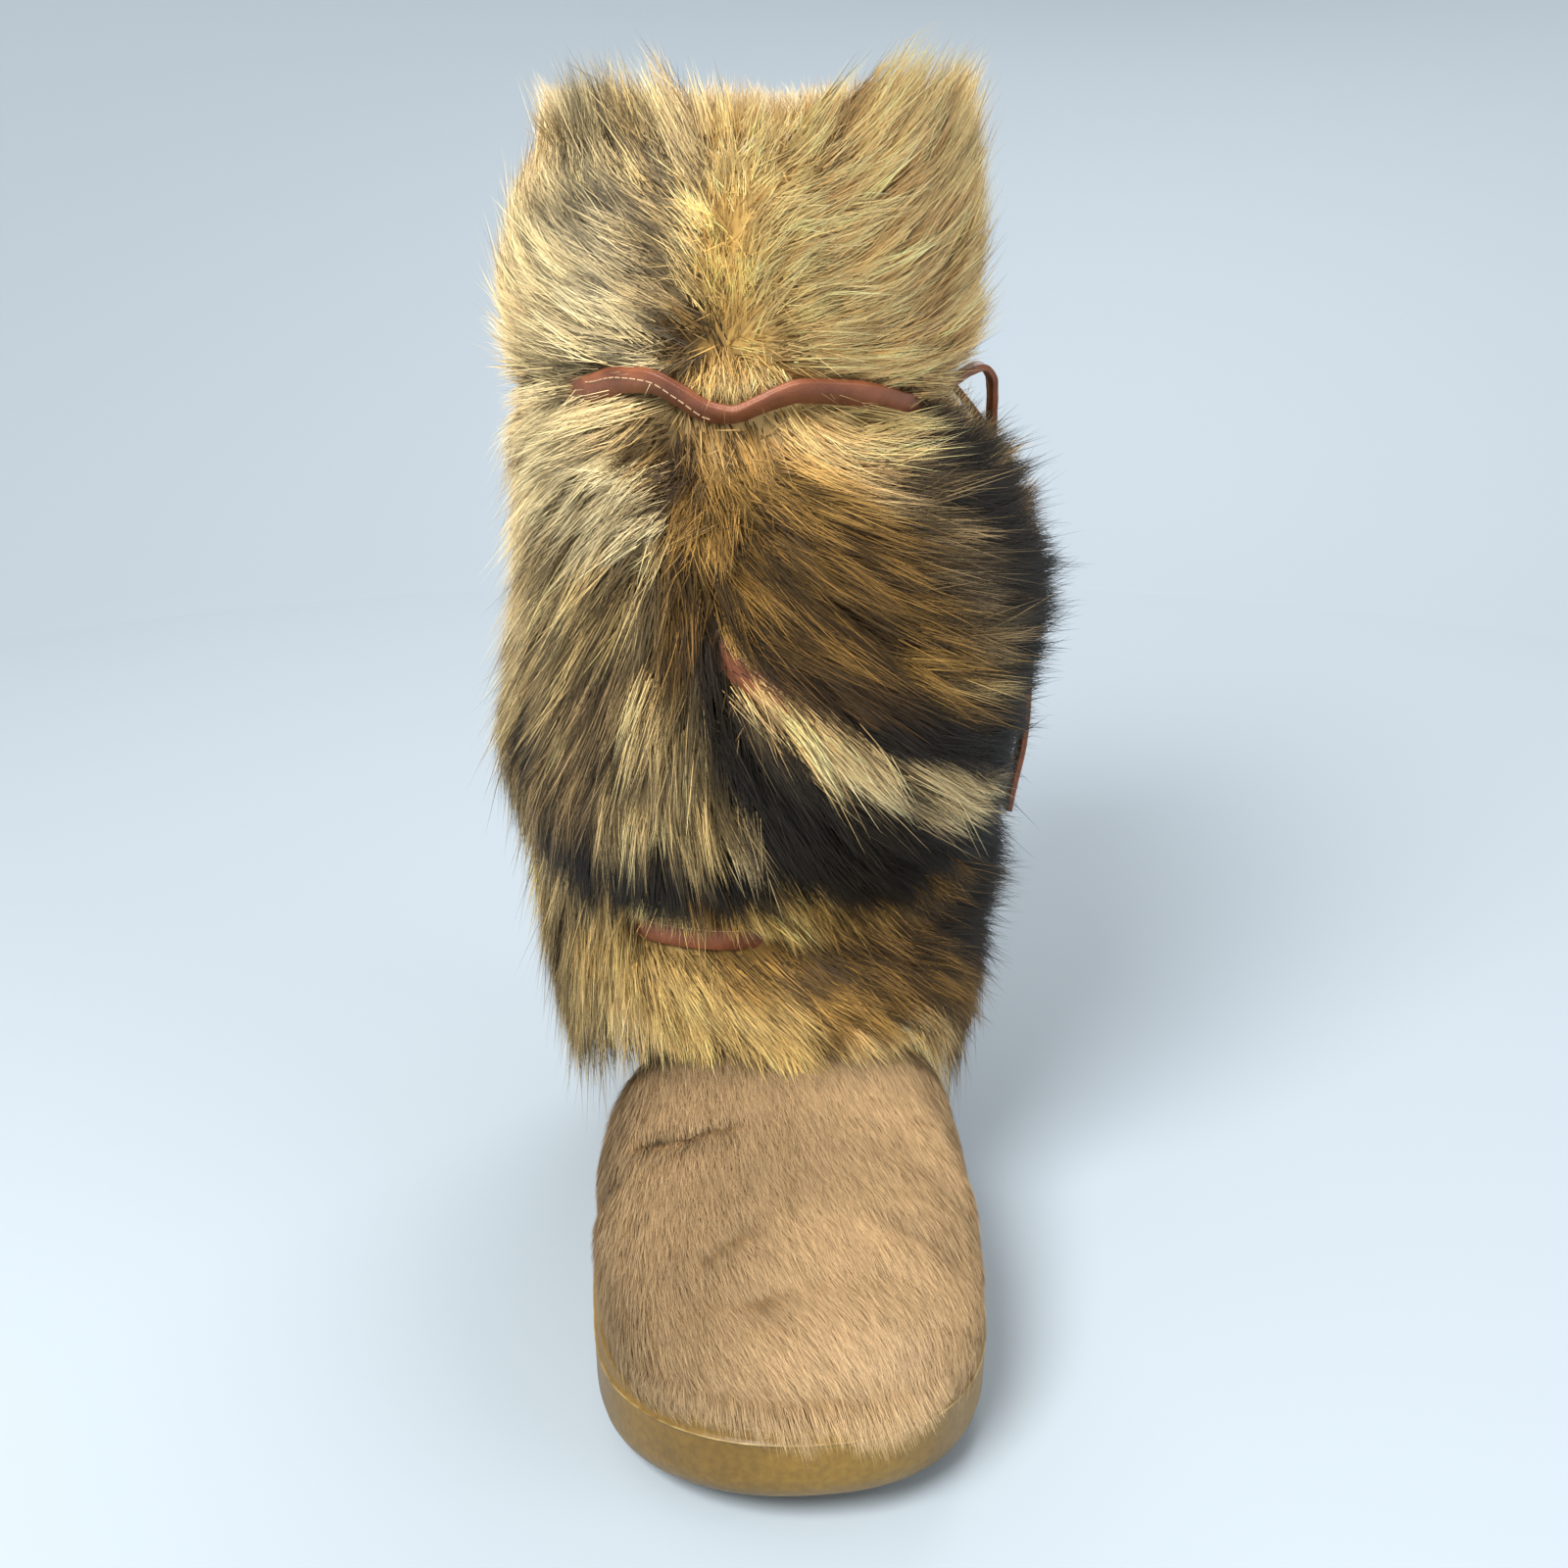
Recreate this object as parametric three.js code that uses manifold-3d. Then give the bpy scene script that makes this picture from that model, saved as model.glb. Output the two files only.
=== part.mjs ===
// A calf-high fur boot for the left foot: a moulded wedge sole, a short-haired foot upper, a deep fur
// shaft and a flat leather lace wound round the shaft.
// Millimetres, +Z up. The toe points along -Y and the outer side of the foot is +X.
// "station" is the distance back from the tip of the sole.
import * as THREE from "three";
import { mergeVertices } from "three/addons/utils/BufferGeometryUtils.js";
import Module from "manifold-3d";

const wasm = await Module();
wasm.setup();

// Driving dimensions
const SOLE_LENGTH = 286;
const TOE_CAP = 68; // length of the rounded toe of the sole
const TOE_SQUARENESS = 2.35;
const HEEL_CAP = 44;
const HEEL_SQUARENESS = 2.15;
const CUP_DEPTH = 7; // the sole's lip stands this far above the bed that the insole lies on
const LIP_INSET = 3.4; // from the sole's outline to the mouth of the cup
const BED_INSET = 6.8;
const UPPER_WALL = 3; // hide, hair pressed flat and lining
const INSOLE_THICK = 3.5;
const INSOLE_INSET = 7.8;
const GAP = 0.3; // between pieces that meet
const LACE_WIDTH = 7.5;
const LACE_THICK = 2;
const LACE_SINK = 8; // the wound lace lies this deep in the fur
const LACE_ROOM = 0.6; // between the wound lace and the fur round it
const CALF_TIE_HEIGHT = 263;
const ANKLE_TIE_HEIGHT = 115;
const COLLAR_OF_UPPER = 118; // the foot upper ends here, inside the shaft

// Mesh fineness
const SOLE_STATIONS = 30;
const RING_POINTS = 30;
const RINGS_PER_ROW = 2;
const LACE_STEPS = 40;
const END_SHARE = 0.25; // how much of a step the first and last station keep from the sole's ends
const WELD = 1e-4;
const TANGENT_TURN = 3; // degrees to each side of a place, to find the fur's direction there

// Half widths of the sole, before its toe and heel are rounded off
const SOLE_OUTLINE = [
  { station: 0, medial: 51, lateral: 48 },
  { station: 38.5, medial: 55, lateral: 51 },
  { station: 82.5, medial: 55.5, lateral: 55 },
  { station: 113, medial: 53, lateral: 56.5 },
  { station: 158, medial: 40, lateral: 49.5 },
  { station: 198, medial: 35.5, lateral: 43 },
  { station: 243, medial: 37, lateral: 39 },
  { station: 286, medial: 36, lateral: 37 },
];

// Toe spring, flat forefoot, arch and flat heel below; the cup's lip above
const SOLE_PROFILE = [
  { station: 0, ground: 10, lip: 33 },
  { station: 22, ground: 4.4, lip: 29.4 },
  { station: 57, ground: 0, lip: 25.6 },
  { station: 98, ground: 0, lip: 24.2 },
  { station: 126, ground: 0, lip: 26.8 },
  { station: 163, ground: 9, lip: 32 },
  { station: 200, ground: 0, lip: 37 },
  { station: 243, ground: 0, lip: 41 },
  { station: 270, ground: 0, lip: 43 },
  { station: 286, ground: 3, lip: 44 },
];

// The sole's side from the ground edge to the bed. "above" counts from the ground, "below" from the lip.
const SOLE_SIDE = [
  { inset: 10, above: 0 },
  { inset: 4.2, above: 1.6 },
  { inset: 1.2, above: 5.5 },
  { inset: 0, above: 11 },
  { inset: 0.2, below: 6 },
  { inset: 0.6, below: 1.6 },
  { inset: 1.8, below: 0 },
  { inset: LIP_INSET, below: 0 },
  { inset: BED_INSET, below: CUP_DEPTH },
];

// Sections of the last. Each lies in the plane through its front (or top) point, its back (or bottom)
// point and the cross axis: upright across the toes, fanned round the heel, level up the leg.
const LAST_SECTIONS = [
  { front: 4, frontZ: 38.5, back: 4, backZ: 31, medial: 5, lateral: 5 },
  { front: 5.5, frontZ: 43, back: 5.5, backZ: 22, medial: 17, lateral: 16 },
  { front: 11, frontZ: 48.5, back: 11, backZ: 12, medial: 30, lateral: 28 },
  { front: 21, frontZ: 54, back: 21, backZ: 5, medial: 41.5, lateral: 39 },
  { front: 39.5, frontZ: 60, back: 39.5, backZ: 3, medial: 50, lateral: 47 },
  { front: 70.5, frontZ: 68.5, back: 70.5, backZ: 2, medial: 54, lateral: 52.4 },
  { front: 100, frontZ: 76.5, back: 102, backZ: 1, medial: 53.5, lateral: 54.4 },
  { front: 113, frontZ: 84, back: 132, backZ: 0, medial: 49.5, lateral: 53 },
  { front: 118, frontZ: 92, back: 173, backZ: 2, medial: 39, lateral: 47 },
  { front: 120, frontZ: 98, back: 223, backZ: 5, medial: 33.6, lateral: 41 },
  { front: 121, frontZ: 103, back: 263, backZ: 10, medial: 34, lateral: 38 },
  { front: 121.5, frontZ: 107, back: 280, backZ: 25, medial: 36.5, lateral: 38 },
  { front: 122, frontZ: 111, back: 283, backZ: 52, medial: 39, lateral: 40 },
  { front: 122, frontZ: 117, back: 278, backZ: 80, medial: 42.5, lateral: 43 },
  { front: 120, frontZ: 127, back: 270, backZ: 108, medial: 47, lateral: 47.5 },
  { front: 114, frontZ: 146, back: 267, backZ: 140, medial: 53, lateral: 55 },
  { front: 107, frontZ: 175, back: 269, backZ: 172, medial: 55, lateral: 60 },
  { front: 104, frontZ: 216, back: 270, backZ: 216, medial: 54, lateral: 60 },
  { front: 107, frontZ: 263, back: 266, backZ: 263, medial: 55, lateral: 42 },
  { front: 105, frontZ: 300, back: 268, backZ: 300, medial: 54, lateral: 44 },
  { front: 105, frontZ: 352, back: 268, backZ: 352, medial: 43, lateral: 42 },
];
const LAST_ROUNDNESS = 2.45;

// Outer face of the combed fur, from the hem over the instep to the rim
const FUR_SECTIONS = [
  { front: 101, frontZ: 85, back: 285, backZ: 50, medial: 60, lateral: 65 },
  { front: 98, frontZ: 88, back: 287, backZ: 54, medial: 64, lateral: 70 },
  { front: 100, frontZ: 96, back: 287, backZ: 68, medial: 66, lateral: 73 },
  { front: 105, frontZ: 106, back: 286, backZ: 90, medial: 68, lateral: 75 },
  { front: 109, frontZ: 116, back: 283, backZ: 113, medial: 69, lateral: 74 },
  { front: 100, frontZ: 130, back: 285, backZ: 134, medial: 72, lateral: 79 },
  { front: 88, frontZ: 152, back: 288, backZ: 156, medial: 78, lateral: 83 },
  { front: 80.5, frontZ: 185, back: 289, backZ: 188, medial: 73, lateral: 84 },
  { front: 80.5, frontZ: 215, back: 288, backZ: 216, medial: 70, lateral: 81 },
  { front: 83.5, frontZ: 244, back: 284, backZ: 244, medial: 71.5, lateral: 70 },
  { front: 90, frontZ: 263, back: 280, backZ: 263, medial: 70, lateral: 57 },
  { front: 84.5, frontZ: 281, back: 283, backZ: 281, medial: 73, lateral: 64 },
  { front: 82.5, frontZ: 308, back: 284, backZ: 308, medial: 68.5, lateral: 63.5 },
  { front: 84.5, frontZ: 331, back: 283, backZ: 331, medial: 61, lateral: 60 },
  { front: 92, frontZ: 340, back: 277, backZ: 340, medial: 53, lateral: 54 },
];
const FUR_ROUNDNESS = 2.2;

// Legs of the lace on the shaft. Turns are in degrees from the front, positive to the outer side.
const LACE_DIAGONALS = [
  { fromTurn: -68, fromHeight: CALF_TIE_HEIGHT, toTurn: 74, toHeight: ANKLE_TIE_HEIGHT },
  { fromTurn: 96, fromHeight: CALF_TIE_HEIGHT, toTurn: 262, toHeight: ANKLE_TIE_HEIGHT },
];

// Free ends at the tie, on the outer side. "out" is from the middle of the foot, "behind" from the tie.
const TIE_STATION = 180;
const LACE_LOOP_ROUTE = [
  { out: 51.5, behind: -16, height: 263 },
  { out: 56, behind: -15.5, height: 264 },
  { out: 61, behind: -13.5, height: 266.5 },
  { out: 65.5, behind: -11, height: 267.5 },
  { out: 69, behind: -8, height: 265 },
  { out: 70.6, behind: -5, height: 259.5 },
  { out: 71.2, behind: -2.5, height: 253 },
  { out: 71.8, behind: -0.5, height: 246.5 },
  { out: 72.6, behind: 0.5, height: 242 },
];
const LACE_END_ROUTE = [
  { out: 51.2, behind: 10, height: 264 },
  { out: 58.8, behind: 10, height: 262 },
  { out: 64.9, behind: 10.5, height: 256 },
  { out: 73.5, behind: 11, height: 244 },
  { out: 79.5, behind: 11, height: 229 },
  { out: 84, behind: 10, height: 213 },
  { out: 86.8, behind: 9, height: 196 },
  { out: 87.6, behind: 8, height: 179 },
  { out: 87.4, behind: 6, height: 162 },
  { out: 86, behind: 4, height: 147 },
  { out: 83, behind: 2, height: 134 },
  { out: 81.4, behind: 1, height: 126 },
];

const RUBBER = new THREE.MeshStandardMaterial({ color: 0xa5813f, roughness: 0.55, metalness: 0 });
const HAIR_HIDE = new THREE.MeshStandardMaterial({ color: 0xb4946a, roughness: 0.85, metalness: 0 });
const FUR = new THREE.MeshStandardMaterial({ color: 0xa98a58, roughness: 0.95, metalness: 0 });
const FELT = new THREE.MeshStandardMaterial({ color: 0xd8ccb4, roughness: 0.95, metalness: 0 });
const LEATHER = new THREE.MeshStandardMaterial({ color: 0x7a4630, roughness: 0.6, metalness: 0 });

// A smooth curve through one column of a table, level wherever two rows agree
function curveOf(rows, key, along) {
  const at = rows.map((row, index) => (along ? row[along] : index));
  const value = rows.map((row) => row[key]);
  const rise = at.slice(1).map((x, i) => (value[i + 1] - value[i]) / (x - at[i]));
  const slope = value.map((_, i) => {
    if (i === 0) return rise[0];
    if (i === rise.length) return rise[i - 1];
    return rise[i - 1] * rise[i] <= 0 ? 0 : (2 * rise[i - 1] * rise[i]) / (rise[i - 1] + rise[i]);
  });
  return (x) => {
    let i = 0;
    while (i < at.length - 2 && x > at[i + 1]) i++;
    const span = at[i + 1] - at[i];
    const t = THREE.MathUtils.clamp((x - at[i]) / span, 0, 1);
    const before = value[i] * (1 + 2 * t) + slope[i] * span * t;
    const after = value[i + 1] * (3 - 2 * t) - slope[i + 1] * span * (1 - t);
    return before * (1 - t) ** 2 + after * t ** 2;
  };
}

// 0 at the end of a rounded stretch and 1 where the stretch is over
function endRound(distance, length, squareness) {
  const left = Math.max(0, 1 - distance / length);
  return Math.max(0, 1 - left ** squareness) ** (1 / squareness);
}

const medialOf = curveOf(SOLE_OUTLINE, "medial", "station");
const lateralOf = curveOf(SOLE_OUTLINE, "lateral", "station");
const groundAt = curveOf(SOLE_PROFILE, "ground", "station");
const lipAt = curveOf(SOLE_PROFILE, "lip", "station");

// The sole's outline, drawn in by an inset: the two edge points at a share of its length
function outlineAt(share, inset) {
  const station = share * SOLE_LENGTH;
  const round =
    endRound(station, TOE_CAP, TOE_SQUARENESS) *
    endRound(SOLE_LENGTH - station, HEEL_CAP, HEEL_SQUARENESS);
  return {
    station: inset + share * (SOLE_LENGTH - 2 * inset),
    medial: -(medialOf(station) - inset) * round,
    lateral: (lateralOf(station) - inset) * round,
  };
}

// Shares of the length, closer together at the toe and the heel, where the outline turns
const SOLE_SHARES = Array.from(
  { length: SOLE_STATIONS },
  (_, i) => (1 - Math.cos((Math.PI * (i + END_SHARE)) / (SOLE_STATIONS - 1 + 2 * END_SHARE))) / 2,
);

// One closed level or curved line round the sole: medial side from the toe back, then lateral forward
function soleRing(inset, heightAt) {
  const edges = SOLE_SHARES.map((share) => outlineAt(share, inset));
  const point = (x, edge) => new THREE.Vector3(x, edge.station, heightAt(edge.station));
  return [
    ...edges.map((edge) => point(edge.medial, edge)),
    ...edges.toReversed().map((edge) => point(edge.lateral, edge)),
  ];
}

// A geometry from corner points and triangles given by index
function geometryFrom(points, triangles) {
  const geometry = new THREE.BufferGeometry();
  geometry.setFromPoints(points);
  geometry.setIndex(triangles);
  return geometry;
}

// Triangles between rings of equal length; "closed" joins the last ring to the first
function ringSides(ringCount, count, closed) {
  const triangles = [];
  for (let r = 0; r < (closed ? ringCount : ringCount - 1); r++) {
    const here = r * count;
    const next = ((r + 1) % ringCount) * count;
    for (let i = 0; i < count; i++) {
      const j = (i + 1) % count;
      triangles.push(here + i, here + j, next + j, here + i, next + j, next + i);
    }
  }
  return triangles;
}

// Rungs between the two sides of a ring made by soleRing
function ladder(start, count, turned) {
  const triangles = [];
  for (let i = 0; i < count / 2 - 1; i++) {
    const [a, b] = [start + i, start + i + 1];
    const [c, d] = [start + count - 2 - i, start + count - 1 - i];
    triangles.push(...(turned ? [a, c, b, a, d, c] : [a, b, c, a, c, d]));
  }
  return triangles;
}

// A closed solid from rings that each have two facing sides, the lowest ring first
function stackOfRings(rings) {
  const count = rings[0].length;
  const top = (rings.length - 1) * count;
  const triangles = ringSides(rings.length, count, false).concat(
    ladder(0, count, true),
    ladder(top, count, false),
  );
  return turnedOut(geometryFrom(rings.flat(), triangles));
}

// A closed tube from rings, with a flat fan over each end
function tubeOfRings(rings) {
  const count = rings[0].length;
  const points = rings.flat();
  const triangles = ringSides(rings.length, count, false);
  const ends = [
    { ring: rings[0], start: 0, turned: true },
    { ring: rings.at(-1), start: (rings.length - 1) * count, turned: false },
  ];
  for (const { ring, start, turned } of ends) {
    const middle = points.length;
    points.push(ring.reduce((sum, p) => sum.add(p), new THREE.Vector3()).divideScalar(count));
    for (let i = 0; i < count; i++) {
      const [a, b] = [start + i, start + ((i + 1) % count)];
      triangles.push(...(turned ? [middle, b, a] : [middle, a, b]));
    }
  }
  return turnedOut(geometryFrom(points, triangles));
}

// The geometry with its faces pointing out
function turnedOut(geometry) {
  const position = geometry.getAttribute("position");
  const corner = (k) => new THREE.Vector3().fromBufferAttribute(position, geometry.index.array[k]);
  let volume = 0;
  for (let k = 0; k < geometry.index.count; k += 3) {
    volume += corner(k).dot(corner(k + 1).cross(corner(k + 2)));
  }
  if (volume < 0) geometry.index.array.reverse();
  return geometry;
}

function solidOf(geometry) {
  const bare = new THREE.BufferGeometry();
  bare.setAttribute("position", geometry.getAttribute("position"));
  bare.setIndex(geometry.index);
  const merged = mergeVertices(bare, WELD);
  return new wasm.Manifold(
    new wasm.Mesh({
      numProp: 3,
      vertProperties: merged.getAttribute("position").array,
      triVerts: new Uint32Array(merged.index.array),
    }),
  );
}

function geometryOf(solid) {
  const mesh = solid.getMesh();
  const geometry = new THREE.BufferGeometry();
  geometry.setAttribute("position", new THREE.BufferAttribute(mesh.vertProperties, 3));
  geometry.setIndex(new THREE.BufferAttribute(mesh.triVerts, 1));
  return geometry;
}

// A round-cornered section in the plane of a table row, grown by "grow" all round and at the toe.
// It starts at the front point and goes by the outer side to the back.
function sectionRing(row, roundness, grow) {
  const front = new THREE.Vector3(0, row.front, row.frontZ);
  const back = new THREE.Vector3(0, row.back, row.backZ);
  const along = back.clone().sub(front).normalize();
  const middle = front.clone().add(back).multiplyScalar(0.5);
  middle.y -= grow * Math.max(0, 1 - row.front / TOE_CAP);
  const reach = front.distanceTo(back) / 2 + grow;
  return Array.from({ length: RING_POINTS }, (_, i) => {
    const turn = (2 * Math.PI * i) / RING_POINTS;
    const [c, s] = [Math.cos(turn), Math.sin(turn)];
    const width = (s > 0 ? row.lateral : row.medial) + grow;
    const ease = (v) => Math.sign(v) * Math.abs(v) ** (2 / roundness);
    return middle
      .clone()
      .addScaledVector(along, -ease(c) * reach)
      .add(new THREE.Vector3(ease(s) * width, 0, 0));
  });
}

// Rows of a section table, with smooth rows put in between
function smoothRows(table) {
  const keys = Object.keys(table[0]);
  const curves = keys.map((key) => curveOf(table, key));
  const count = (table.length - 1) * RINGS_PER_ROW + 1;
  return Array.from({ length: count }, (_, i) =>
    Object.fromEntries(keys.map((key, k) => [key, curves[k](i / RINGS_PER_ROW)])),
  );
}

function lastForm(grow) {
  const rings = smoothRows(LAST_SECTIONS).map((row) => sectionRing(row, LAST_ROUNDNESS, grow));
  return solidOf(tubeOfRings(rings));
}

const furRows = smoothRows(FUR_SECTIONS);

function furForm() {
  return solidOf(tubeOfRings(furRows.map((row) => sectionRing(row, FUR_ROUNDNESS, 0))));
}

// The point on the fur's outer face at a turn from the front and a height above the floor
function furPoint(turnDegrees, height) {
  const share = THREE.MathUtils.euclideanModulo(turnDegrees, 360) / 360;
  const at = share * RING_POINTS;
  const [i, part] = [Math.floor(at) % RING_POINTS, at % 1];
  const column = furRows.map((row) => {
    const ring = sectionRing(row, FUR_ROUNDNESS, 0);
    return ring[i].clone().lerp(ring[(i + 1) % RING_POINTS], part);
  });
  let r = 0;
  while (r < column.length - 2 && column[r + 1].z < height) r++;
  const t = (height - column[r].z) / (column[r + 1].z - column[r].z);
  return column[r].clone().lerp(column[r + 1], t);
}

// A flat strap along a route of points with outward directions. The strap's inner face lies "sink"
// below the route, and it reaches "thick" outward.
function strap(route, width, sink, thick, closed) {
  const count = route.length;
  const rings = route.map(({ point, outward }, i) => {
    const before = route[closed ? (i + count - 1) % count : Math.max(0, i - 1)].point;
    const after = route[closed ? (i + 1) % count : Math.min(count - 1, i + 1)].point;
    const along = after.clone().sub(before).normalize();
    const across = along.clone().cross(outward).normalize();
    const corner = (side, depth) =>
      point
        .clone()
        .addScaledVector(across, (side * width) / 2)
        .addScaledVector(outward, depth - sink);
    return [corner(-1, 0), corner(1, 0), corner(1, thick), corner(-1, thick)];
  });
  if (!closed) return solidOf(tubeOfRings(rings));
  return solidOf(turnedOut(geometryFrom(rings.flat(), ringSides(count, 4, true))));
}

// A route on the fur's face: points with the outward, level direction at each
function furRoute(turnAt, heightAt, steps, closed) {
  return Array.from({ length: steps }, (_, i) => {
    const share = i / (closed ? steps : steps - 1);
    const [turn, height] = [turnAt(share), heightAt(share)];
    const tangent = furPoint(turn + TANGENT_TURN, height).sub(
      furPoint(turn - TANGENT_TURN, height),
    );
    const outward = new THREE.Vector3(tangent.y, -tangent.x, 0).normalize();
    const point = furPoint(turn, height);
    const centre = new THREE.Vector3(0, TIE_STATION, height);
    if (outward.dot(point.clone().sub(centre)) < 0) outward.negate();
    return { point, outward };
  });
}

function laceRoutes() {
  const level = (height) => furRoute((share) => share * 360, () => height, LACE_STEPS, true);
  const diagonals = LACE_DIAGONALS.map((leg) =>
    furRoute(
      (share) => THREE.MathUtils.lerp(leg.fromTurn, leg.toTurn, share),
      (share) => THREE.MathUtils.lerp(leg.fromHeight, leg.toHeight, share),
      LACE_STEPS / 2,
      false,
    ),
  );
  return [
    { route: level(CALF_TIE_HEIGHT), closed: true },
    { route: level(ANKLE_TIE_HEIGHT), closed: true },
    ...diagonals.map((route) => ({ route, closed: false })),
  ];
}

// An open route with one more point at each end, straight on
function lengthened(route) {
  const beyond = (end, next) => ({
    point: end.point.clone().add(end.point.clone().sub(next.point).setLength(LACE_ROOM)),
    outward: end.outward,
  });
  return [beyond(route[0], route[1]), ...route, beyond(route.at(-1), route.at(-2))];
}

function joined(solids) {
  return solids.reduce((sum, solid) => sum.add(solid));
}

// The sole: ground, round-edged side, lip and the cup that takes the upper
function outsole() {
  const rings = SOLE_SIDE.map(({ inset, above, below }) =>
    soleRing(inset, (station) =>
      above === undefined ? lipAt(station) - below : groundAt(station) + above,
    ),
  );
  return stackOfRings(rings);
}

// A thin sheet on the sole's bed, trimmed to the inside of the upper
function insole() {
  const bed = (station) => lipAt(station) - CUP_DEPTH + GAP;
  const sheet = stackOfRings([
    soleRing(INSOLE_INSET, bed),
    soleRing(INSOLE_INSET, (station) => bed(station) + INSOLE_THICK),
  ]);
  return solidOf(sheet).intersect(lastForm(-UPPER_WALL - GAP));
}

// All the room that the sole needs below and beside the upper
function soleRoom() {
  const below = -40;
  const beyond = -60;
  const bed = (station) => lipAt(station) - CUP_DEPTH + GAP;
  const lip = (station) => lipAt(station) + GAP;
  return solidOf(
    stackOfRings([
      soleRing(beyond, () => below),
      soleRing(beyond, lip),
      soleRing(0, lip),
      soleRing(LIP_INSET + GAP, lip),
      soleRing(BED_INSET + GAP, bed),
    ]),
  );
}

// A box over all stations between two heights
function slab(bottom, top) {
  const reach = 400;
  const box = new THREE.BoxGeometry(reach, 2 * reach, top - bottom);
  box.translate(0, SOLE_LENGTH / 2, (top + bottom) / 2);
  box.deleteAttribute("normal");
  box.deleteAttribute("uv");
  return solidOf(box);
}

// The foot upper: the last's own form less a smaller one, open under the foot and at the ankle
function upper() {
  const wall = lastForm(0).subtract(lastForm(-UPPER_WALL));
  const tall = 400;
  return wall.subtract(slab(COLLAR_OF_UPPER, tall)).subtract(soleRoom());
}

// The shaft: hide and deep fur in one wall, open at the rim and over the foot
function shaft() {
  const aboveFur = 40;
  const channels = laceRoutes().map(({ route, closed }) =>
    strap(
      closed ? route : lengthened(route),
      LACE_WIDTH + 2 * LACE_ROOM,
      LACE_SINK + LACE_ROOM,
      LACE_SINK + aboveFur,
      closed,
    ),
  );
  return channels.reduce((wall, channel) => wall.subtract(channel), furForm().subtract(lastForm(GAP)));
}

function laceWrap() {
  const legs = laceRoutes().map(({ route, closed }) =>
    strap(route, LACE_WIDTH, LACE_SINK, LACE_THICK, closed),
  );
  return joined(legs);
}

// A free stretch of lace along a smooth curve, with its width along the foot
function freeLace(rows) {
  const points = rows.map(
    ({ out, behind, height }) => new THREE.Vector3(out, TIE_STATION + behind, height),
  );
  const curve = new THREE.CatmullRomCurve3(points);
  const steps = 3 * rows.length;
  const route = Array.from({ length: steps + 1 }, (_, i) => {
    const along = curve.getTangentAt(i / steps);
    const outward = new THREE.Vector3(0, 1, 0).cross(along).normalize();
    return { point: curve.getPointAt(i / steps), outward };
  });
  return geometryOf(strap(route, LACE_WIDTH, LACE_THICK / 2, LACE_THICK, false));
}

function part(name, geometry, material) {
  const mesh = new THREE.Mesh(geometry, material);
  mesh.name = name;
  return mesh;
}

const boot = new THREE.Group();
boot.add(
  part("outsole", outsole(), RUBBER),
  part("insole", geometryOf(insole()), FELT),
  part("upper", geometryOf(upper()), HAIR_HIDE),
  part("shaft", geometryOf(shaft()), FUR),
  part("lace_wrap", geometryOf(laceWrap()), LEATHER),
);

// The origin is under the middle of the boot, on the floor
const box = new THREE.Box3().setFromObject(boot);
const centre = box.getCenter(new THREE.Vector3());
boot.add(
  part("lace_loop", freeLace(LACE_LOOP_ROUTE), LEATHER),
  part("lace_end", freeLace(LACE_END_ROUTE), LEATHER),
);
boot.position.set(-centre.x, -centre.y, -box.min.z);

export default boot;
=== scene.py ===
"""A calf-high fur boot for the left foot, dressed over its CAD frame.

Shapes are worked out in the boot's own millimetres: x across (outer side positive), station back from
the tip of the sole, z up. to_row() turns them into the frame's metres.
"""

import math
from collections import namedtuple

import bpy
import numpy as np
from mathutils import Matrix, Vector


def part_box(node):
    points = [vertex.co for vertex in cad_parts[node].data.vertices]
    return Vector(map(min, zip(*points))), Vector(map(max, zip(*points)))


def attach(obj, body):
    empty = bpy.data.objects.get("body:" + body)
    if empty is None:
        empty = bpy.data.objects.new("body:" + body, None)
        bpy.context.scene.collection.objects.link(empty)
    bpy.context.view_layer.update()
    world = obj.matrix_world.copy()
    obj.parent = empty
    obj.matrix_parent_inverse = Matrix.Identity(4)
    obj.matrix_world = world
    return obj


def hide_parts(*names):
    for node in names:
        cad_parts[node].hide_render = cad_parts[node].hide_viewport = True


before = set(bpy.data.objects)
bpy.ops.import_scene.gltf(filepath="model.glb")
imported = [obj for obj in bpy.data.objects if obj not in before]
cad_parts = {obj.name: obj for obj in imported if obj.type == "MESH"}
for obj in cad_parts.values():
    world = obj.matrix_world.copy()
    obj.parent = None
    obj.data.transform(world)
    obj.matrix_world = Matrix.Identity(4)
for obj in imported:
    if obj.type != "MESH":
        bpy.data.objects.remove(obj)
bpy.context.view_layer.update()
BODY = "root"
BAKE_MAP = "OFBake"
random = np.random.default_rng(7)

# The boot's own sizes, in millimetres
SOLE_LENGTH = 286
BALL_MEDIAL = 55.5
TOE_CAP, TOE_SQUARENESS = 68, 2.35
HEEL_CAP, HEEL_SQUARENESS = 44, 2.15
CUP_DEPTH = 7
UPPER_WALL = 3
UPPER_COLLAR, COLLAR_TUCK = 118, 8  # the hide ends this far below the CAD collar
BED_GAP, LINING_STEP = 0.3, 0.05  # the upper over the sole's bed, and its lining over its edge
LINING_GAP, LINING_DROP = 0.4, 4  # the lining lies this far into the shaft's wall, and ends below the rim
CALF_TIE, ANKLE_TIE = 263, 115
TIE_STATION = 180
RIM = 340
LACE_WIDTH, LACE_THICK = 7.5, 2.0
FIRST_STITCH, STITCH_PITCH, STITCH_LENGTH, THREAD = 1.0, 2.3, 1.7, 0.17
SEAM_EDGE = 2.4  # the stitches lie this far from the middle of the lace
FUR_DEPTH = 7  # the shaft's hide lies this far below the fur's face
HAIR_DEPTH = 0.9  # the foot's hide lies this far below the face of its hair
RIM_CROWN = 5  # height of the rounded top of the shaft's wall

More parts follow.
